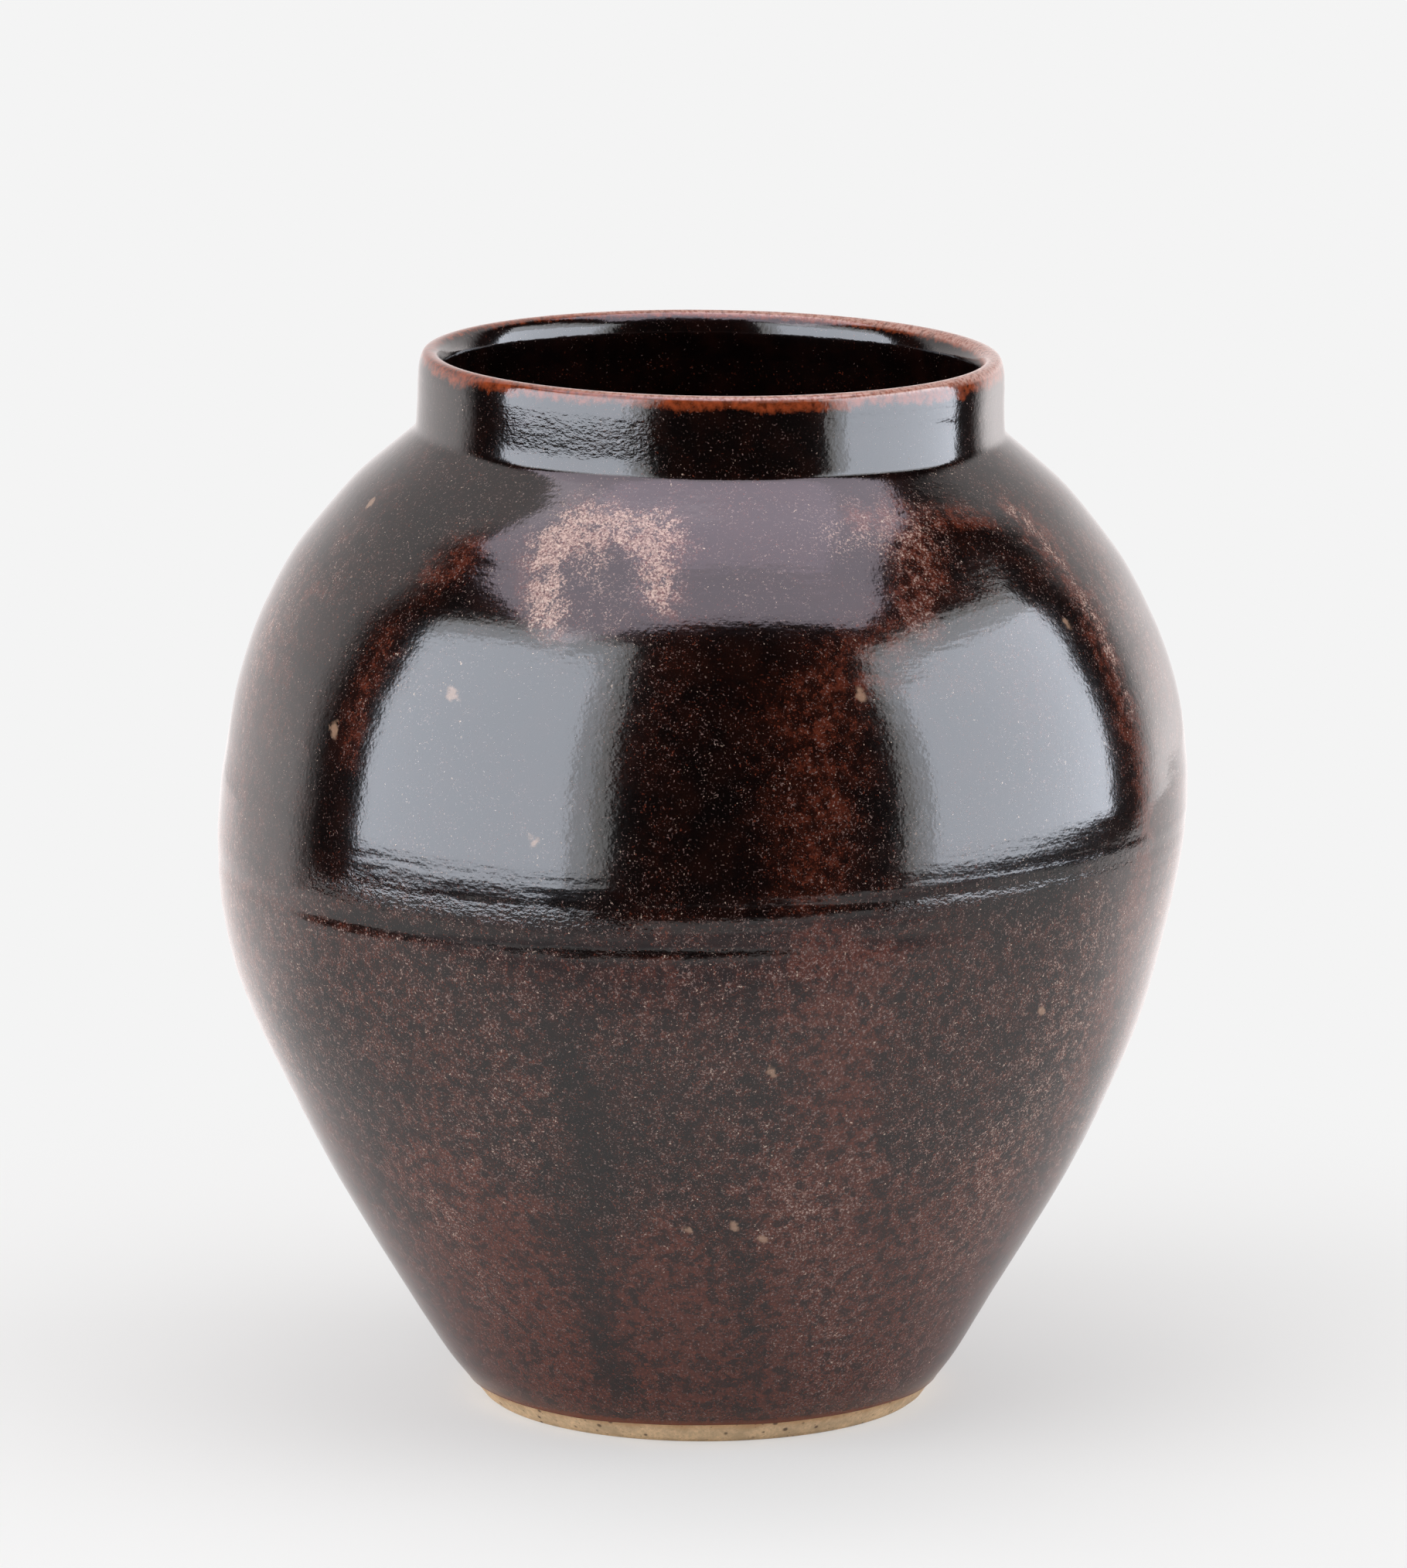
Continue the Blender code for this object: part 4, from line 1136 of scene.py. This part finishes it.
def side_panel(name, panel, radiance, share):
    """Upright panel from one end to the other, as a plain lamp and smaller ones that only shine."""
    first, second, low, high = panel
    start, stop = end_place(first), end_place(second)
    across = stop - start
    middle = (start + stop) / 2 + np.array((0.0, 0.0, (low + high) / 2))
    up = np.array((0.0, 0.0, high - low))
    across = across if np.cross(across, up) @ middle > 0 else -across
    add_lamp(name, middle, across, up, radiance * share, PLAIN_WHITE, False)
    end_in = (start if abs(first[0]) < abs(second[0]) else stop) - middle * (1.0, 1.0, 0.0)
    for number, (inner, top, part) in enumerate(SHINE_STEPS, 1):
        place_now = middle - end_in * inner - up * top / 2
        place_now = place_now * (1 - number * LAMP_GAP / np.linalg.norm(middle[:2]))
        add_lamp("%s_shine_%d" % (name, number), place_now, across * (1 - inner), up * (1 - top),
                 radiance * (1 - share) * part, BOX_TINT, True)


def top_panel(name, panel, radiance, share):
    """Level panel over the jar, as one that only shines and, if it has a share, a plain lamp."""
    middle, width, depth, degrees = panel
    turn = math.radians(degrees)
    across = np.array((math.cos(turn), math.sin(turn), 0.0)) * width
    up = np.array((-math.sin(turn), math.cos(turn), 0.0)) * depth
    if share:
        add_lamp(name, middle, across, up, radiance * share, PLAIN_WHITE, False)
    nearer = np.array(middle) - (0.0, 0.0, LAMP_GAP)
    add_lamp(name + "_shine", nearer, across, up, radiance * (1 - share), TOP_TINT, True)


def studio_world(look):
    """World that is white to the camera, and to other rays a room worked out from their direction.

    The room is dark before the jar and pale behind it.  It is a product of ramps over how
    far the direction points backwards, to the right and upwards.
    """
    world = bpy.data.worlds.new("studio")
    bpy.context.scene.world = world
    world.use_nodes = True
    tree = world.node_tree
    tree.nodes.clear()
    way = place(tree, "ShaderNodeTexCoord").outputs["Generated"]
    level = place(tree, "ShaderNodeVectorMath", {0: way, 1: (1.0, 1.0, 0.0)}, operation="MULTIPLY")
    level = place(tree, "ShaderNodeVectorMath", {0: level.outputs[0]}, operation="NORMALIZE")
    level = place(tree, "ShaderNodeSeparateXYZ", {0: level.outputs[0]})
    side, behind = level.outputs["X"], level.outputs["Y"]
    height = place(tree, "ShaderNodeSeparateXYZ", {0: way}).outputs["Z"]
    turned = sums(tree, "SUBTRACT", behind, remap(tree, side, *ROOM_TURN))
    backwards = times(tree, remap(tree, turned, *ROOM_EDGE), remap(tree, behind, *ROOM_SIDES))
    to_right = times(tree, remap(tree, side, *ROOM_RIGHT), remap(tree, height, *ROOM_RIGHT_LOW))
    to_right = sums(tree, "ADD", to_right, 1.0)
    upwards = remap(tree, height, *ROOM_UPWARDS)
    room = times(tree, backwards, times(tree, upwards, to_right))
    camera_ray = place(tree, "ShaderNodeLightPath").outputs["Is Camera Ray"]
    strength = choose(tree, camera_ray, room, look.backdrop)
    tint = blend_colours(tree, camera_ray, rgba(ROOM_TINT), rgba(PLAIN_WHITE))
    shine = place(tree, "ShaderNodeBackground", {"Color": tint, "Strength": strength})
    place(tree, "ShaderNodeOutputWorld", {"Surface": shine.outputs[0]})


def floor_material(look):
    """Pale floor that keeps the jar's shadow, with a darker strip before the jar: painted shade.

    For the camera it fades to the backdrop's white away from the jar, and glossy rays meet
    a bright sweep behind the jar.
    """
    made, tree, shader = new_material("studio_floor")
    shader.inputs["Roughness"].default_value = FLOOR_ROUGHNESS
    shader.inputs["Specular IOR Level"].default_value = 0.0
    where = place(tree, "ShaderNodeTexCoord").outputs["Object"]
    forward = place(tree, "ShaderNodeSeparateXYZ", {0: where}).outputs["Y"]
    # painted shade: the strip before the jar is darker because the front of the room is dim
    front = [look.floor_front_shade * value for value in FRONT_SHADE_TINT]
    past_shade_strip, before_shade_strip = remap(tree, forward, *SHADE_STRIP_FAR), remap(tree, forward, *SHADE_STRIP_NEAR)
    pale = sums(tree, "MAXIMUM", past_shade_strip, before_shade_strip)
    paper = blend_colours(tree, pale, rgba(front), rgba((look.floor,) * 3))
    tree.links.new(paper, shader.inputs["Base Color"])
    away = place(tree, "ShaderNodeVectorMath", {0: where}, operation="LENGTH").outputs["Value"]
    far = times(tree, remap(tree, away, *FADE_AWAY), remap(tree, forward, *FADE_BEFORE))
    rays = place(tree, "ShaderNodeLightPath").outputs
    faded = weighed(tree, (far, FADE_SHARES[0]), (1.0, FADE_SHARES[1]))
    seen = times(tree, faded, rays["Is Camera Ray"])
    swept = times(tree, remap(tree, away, *SWEEP_AWAY), remap(tree, forward, *SWEEP_BEHIND))
    shine = times(tree, swept, rays["Is Glossy Ray"])
    share = sums(tree, "ADD", seen, shine, clamp=True)
    strength = choose(tree, rays["Is Camera Ray"], SWEEP_STRENGTH, look.backdrop)
    colour_seen = blend_colours(tree, rays["Is Camera Ray"], rgba(ROOM_TINT), rgba(PLAIN_WHITE))
    white = place(tree, "ShaderNodeEmission", {"Color": colour_seen, "Strength": strength})
    both = {0: share, 1: shader.outputs[0], 2: white.outputs[0]}
    mixed = place(tree, "ShaderNodeMixShader", both)
    tree.links.new(mixed.outputs[0], tree.nodes["Material Output"].inputs["Surface"])
    return made


class JAR_OT_glaze_coat(bpy.types.Operator):
    """Make the iron glaze coat outside, from the mouth over the lip to its edge over the foot"""

    bl_idname = "jar.glaze_coat"
    bl_label = "Glaze coat"

    def execute(self, context):
        s, c = context.scene.jar_sizes, context.scene.jar_colours
        points = coat_points(s, turn_steps(s))
        pattern = points.copy()
        piece = skin("glaze_coat", wander(s, points), True)
        paint_coat(s, piece, pattern)
        finish_piece(piece, glaze_material(c), ["outer_glaze"])
        return {"FINISHED"}


class JAR_OT_glaze_liner(bpy.types.Operator):
    """Make the glaze liner inside, from the seam in the mouth down to the floor"""

    bl_idname = "jar.glaze_liner"
    bl_label = "Glaze liner"

    def execute(self, context):
        s = context.scene.jar_sizes
        points = liner_points(s, turn_steps(s))
        piece = skin("liner_coat", wander(s, points), False)
        # the pool share is painted shade of the jar's deep inside
        for name, value in (("bloom", LINER_BLOOM), ("rust", LINER_RUST), ("pool", INSIDE_PAINTED_SHADE)):
            paint(piece, name, np.full(points.shape[:2], value))
        finish_piece(piece, bpy.data.materials[GLAZE_NAME], ["liner_glaze"])
        return {"FINISHED"}


class JAR_OT_clay_bowl(bpy.types.Operator):
    """Make the thrown bowl with its bare clay foot"""

    bl_idname = "jar.clay_bowl"
    bl_label = "Clay bowl"

    def execute(self, context):
        s, c = context.scene.jar_sizes, context.scene.jar_colours
        piece = skin("clay_bowl", wander(s, bowl_points(s, turn_steps(s))), False)
        finish_piece(piece, clay_material(c, "fired_clay"), ["lower_body"])
        return {"FINISHED"}


class JAR_OT_clay_sections(bpy.types.Operator):
    """Give the shoulder and collar sections under the glaze their fired clay"""

    bl_idname = "jar.clay_sections"
    bl_label = "Clay sections"

    def execute(self, context):
        clay = clay_material(context.scene.jar_colours, "fired_clay_sections")
        for name in ("upper_body", "neck_collar"):
            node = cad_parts[name]
            node.data.materials.clear()
            node.data.materials.append(clay)
        return {"FINISHED"}


class JAR_OT_studio(bpy.types.Operator):
    """Set the floor, backdrop, lamps and camera"""

    bl_idname = "jar.studio"
    bl_label = "Studio"

    def execute(self, context):
        look = context.scene.jar_studio
        left, right, near, far = FLOOR_REACH
        mesh = bpy.data.meshes.new("studio_floor")
        corners = [(left, near, 0.0), (right, near, 0.0), (right, far, 0.0), (left, far, 0.0)]
        mesh.from_pydata(corners, [], [(0, 1, 2, 3)])
        floor = bpy.data.objects.new("studio_floor", mesh)
        context.scene.collection.objects.link(floor)
        mesh.materials.append(floor_material(look))
        studio_world(look)
        side_panel("left_panel", LEFT_PANEL, look.box_radiance, look.box_share)
        side_panel("right_panel", RIGHT_PANEL, look.box_radiance, look.box_share)
        top_panel("top_panel", TOP_PANEL, look.top_radiance, look.top_share)
        top_panel("top_centre", TOP_CENTRE, look.top_radiance * TOP_CENTRE_SHARE, 0.0)
        data = bpy.data.cameras.new("photo_camera")
        data.lens = look.lens
        camera = bpy.data.objects.new("photo_camera", data)
        camera.location = look.camera_place
        camera.rotation_euler = (math.pi / 2 - look.camera_pitch, 0.0, 0.0)
        context.scene.collection.objects.link(camera)
        context.scene.camera = camera
        context.scene.view_settings.view_transform = "Standard"
        return {"FINISHED"}


class JAR_PT_panel(bpy.types.Panel):
    """Sidebar panel with the steps that make the jar, and its sizes, colours and studio."""

    bl_label = "Stoneware jar"
    bl_idname = "JAR_PT_panel"
    bl_space_type = "VIEW_3D"
    bl_region_type = "UI"
    bl_category = "Jar"

    def draw(self, context):
        layout = self.layout
        for operator in OPERATORS:
            layout.operator(operator.bl_idname)
        for group in (context.scene.jar_sizes, context.scene.jar_colours, context.scene.jar_studio):
            box = layout.box()
            for name in group.__annotations__:
                box.prop(group, name)


OPERATORS = (
    JAR_OT_glaze_coat, JAR_OT_glaze_liner, JAR_OT_clay_bowl, JAR_OT_clay_sections, JAR_OT_studio)
CLASSES = (JarSizes, JarColours, StudioLook, *OPERATORS, JAR_PT_panel)


def register():
    """Register the classes and their settings on the scene."""
    for item in CLASSES:
        bpy.utils.register_class(item)
    bpy.types.Scene.jar_sizes = PointerProperty(type=JarSizes)
    bpy.types.Scene.jar_colours = PointerProperty(type=JarColours)
    bpy.types.Scene.jar_studio = PointerProperty(type=StudioLook)


def unregister():
    """Take the settings and the classes away again."""
    del bpy.types.Scene.jar_studio
    del bpy.types.Scene.jar_colours
    del bpy.types.Scene.jar_sizes
    for item in reversed(CLASSES):
        bpy.utils.unregister_class(item)


def main():
    """Build every piece and the studio."""
    register()
    bpy.ops.jar.glaze_coat()
    bpy.ops.jar.glaze_liner()
    bpy.ops.jar.clay_bowl()
    bpy.ops.jar.clay_sections()
    bpy.ops.jar.studio()


if __name__ == "__main__":
    main()
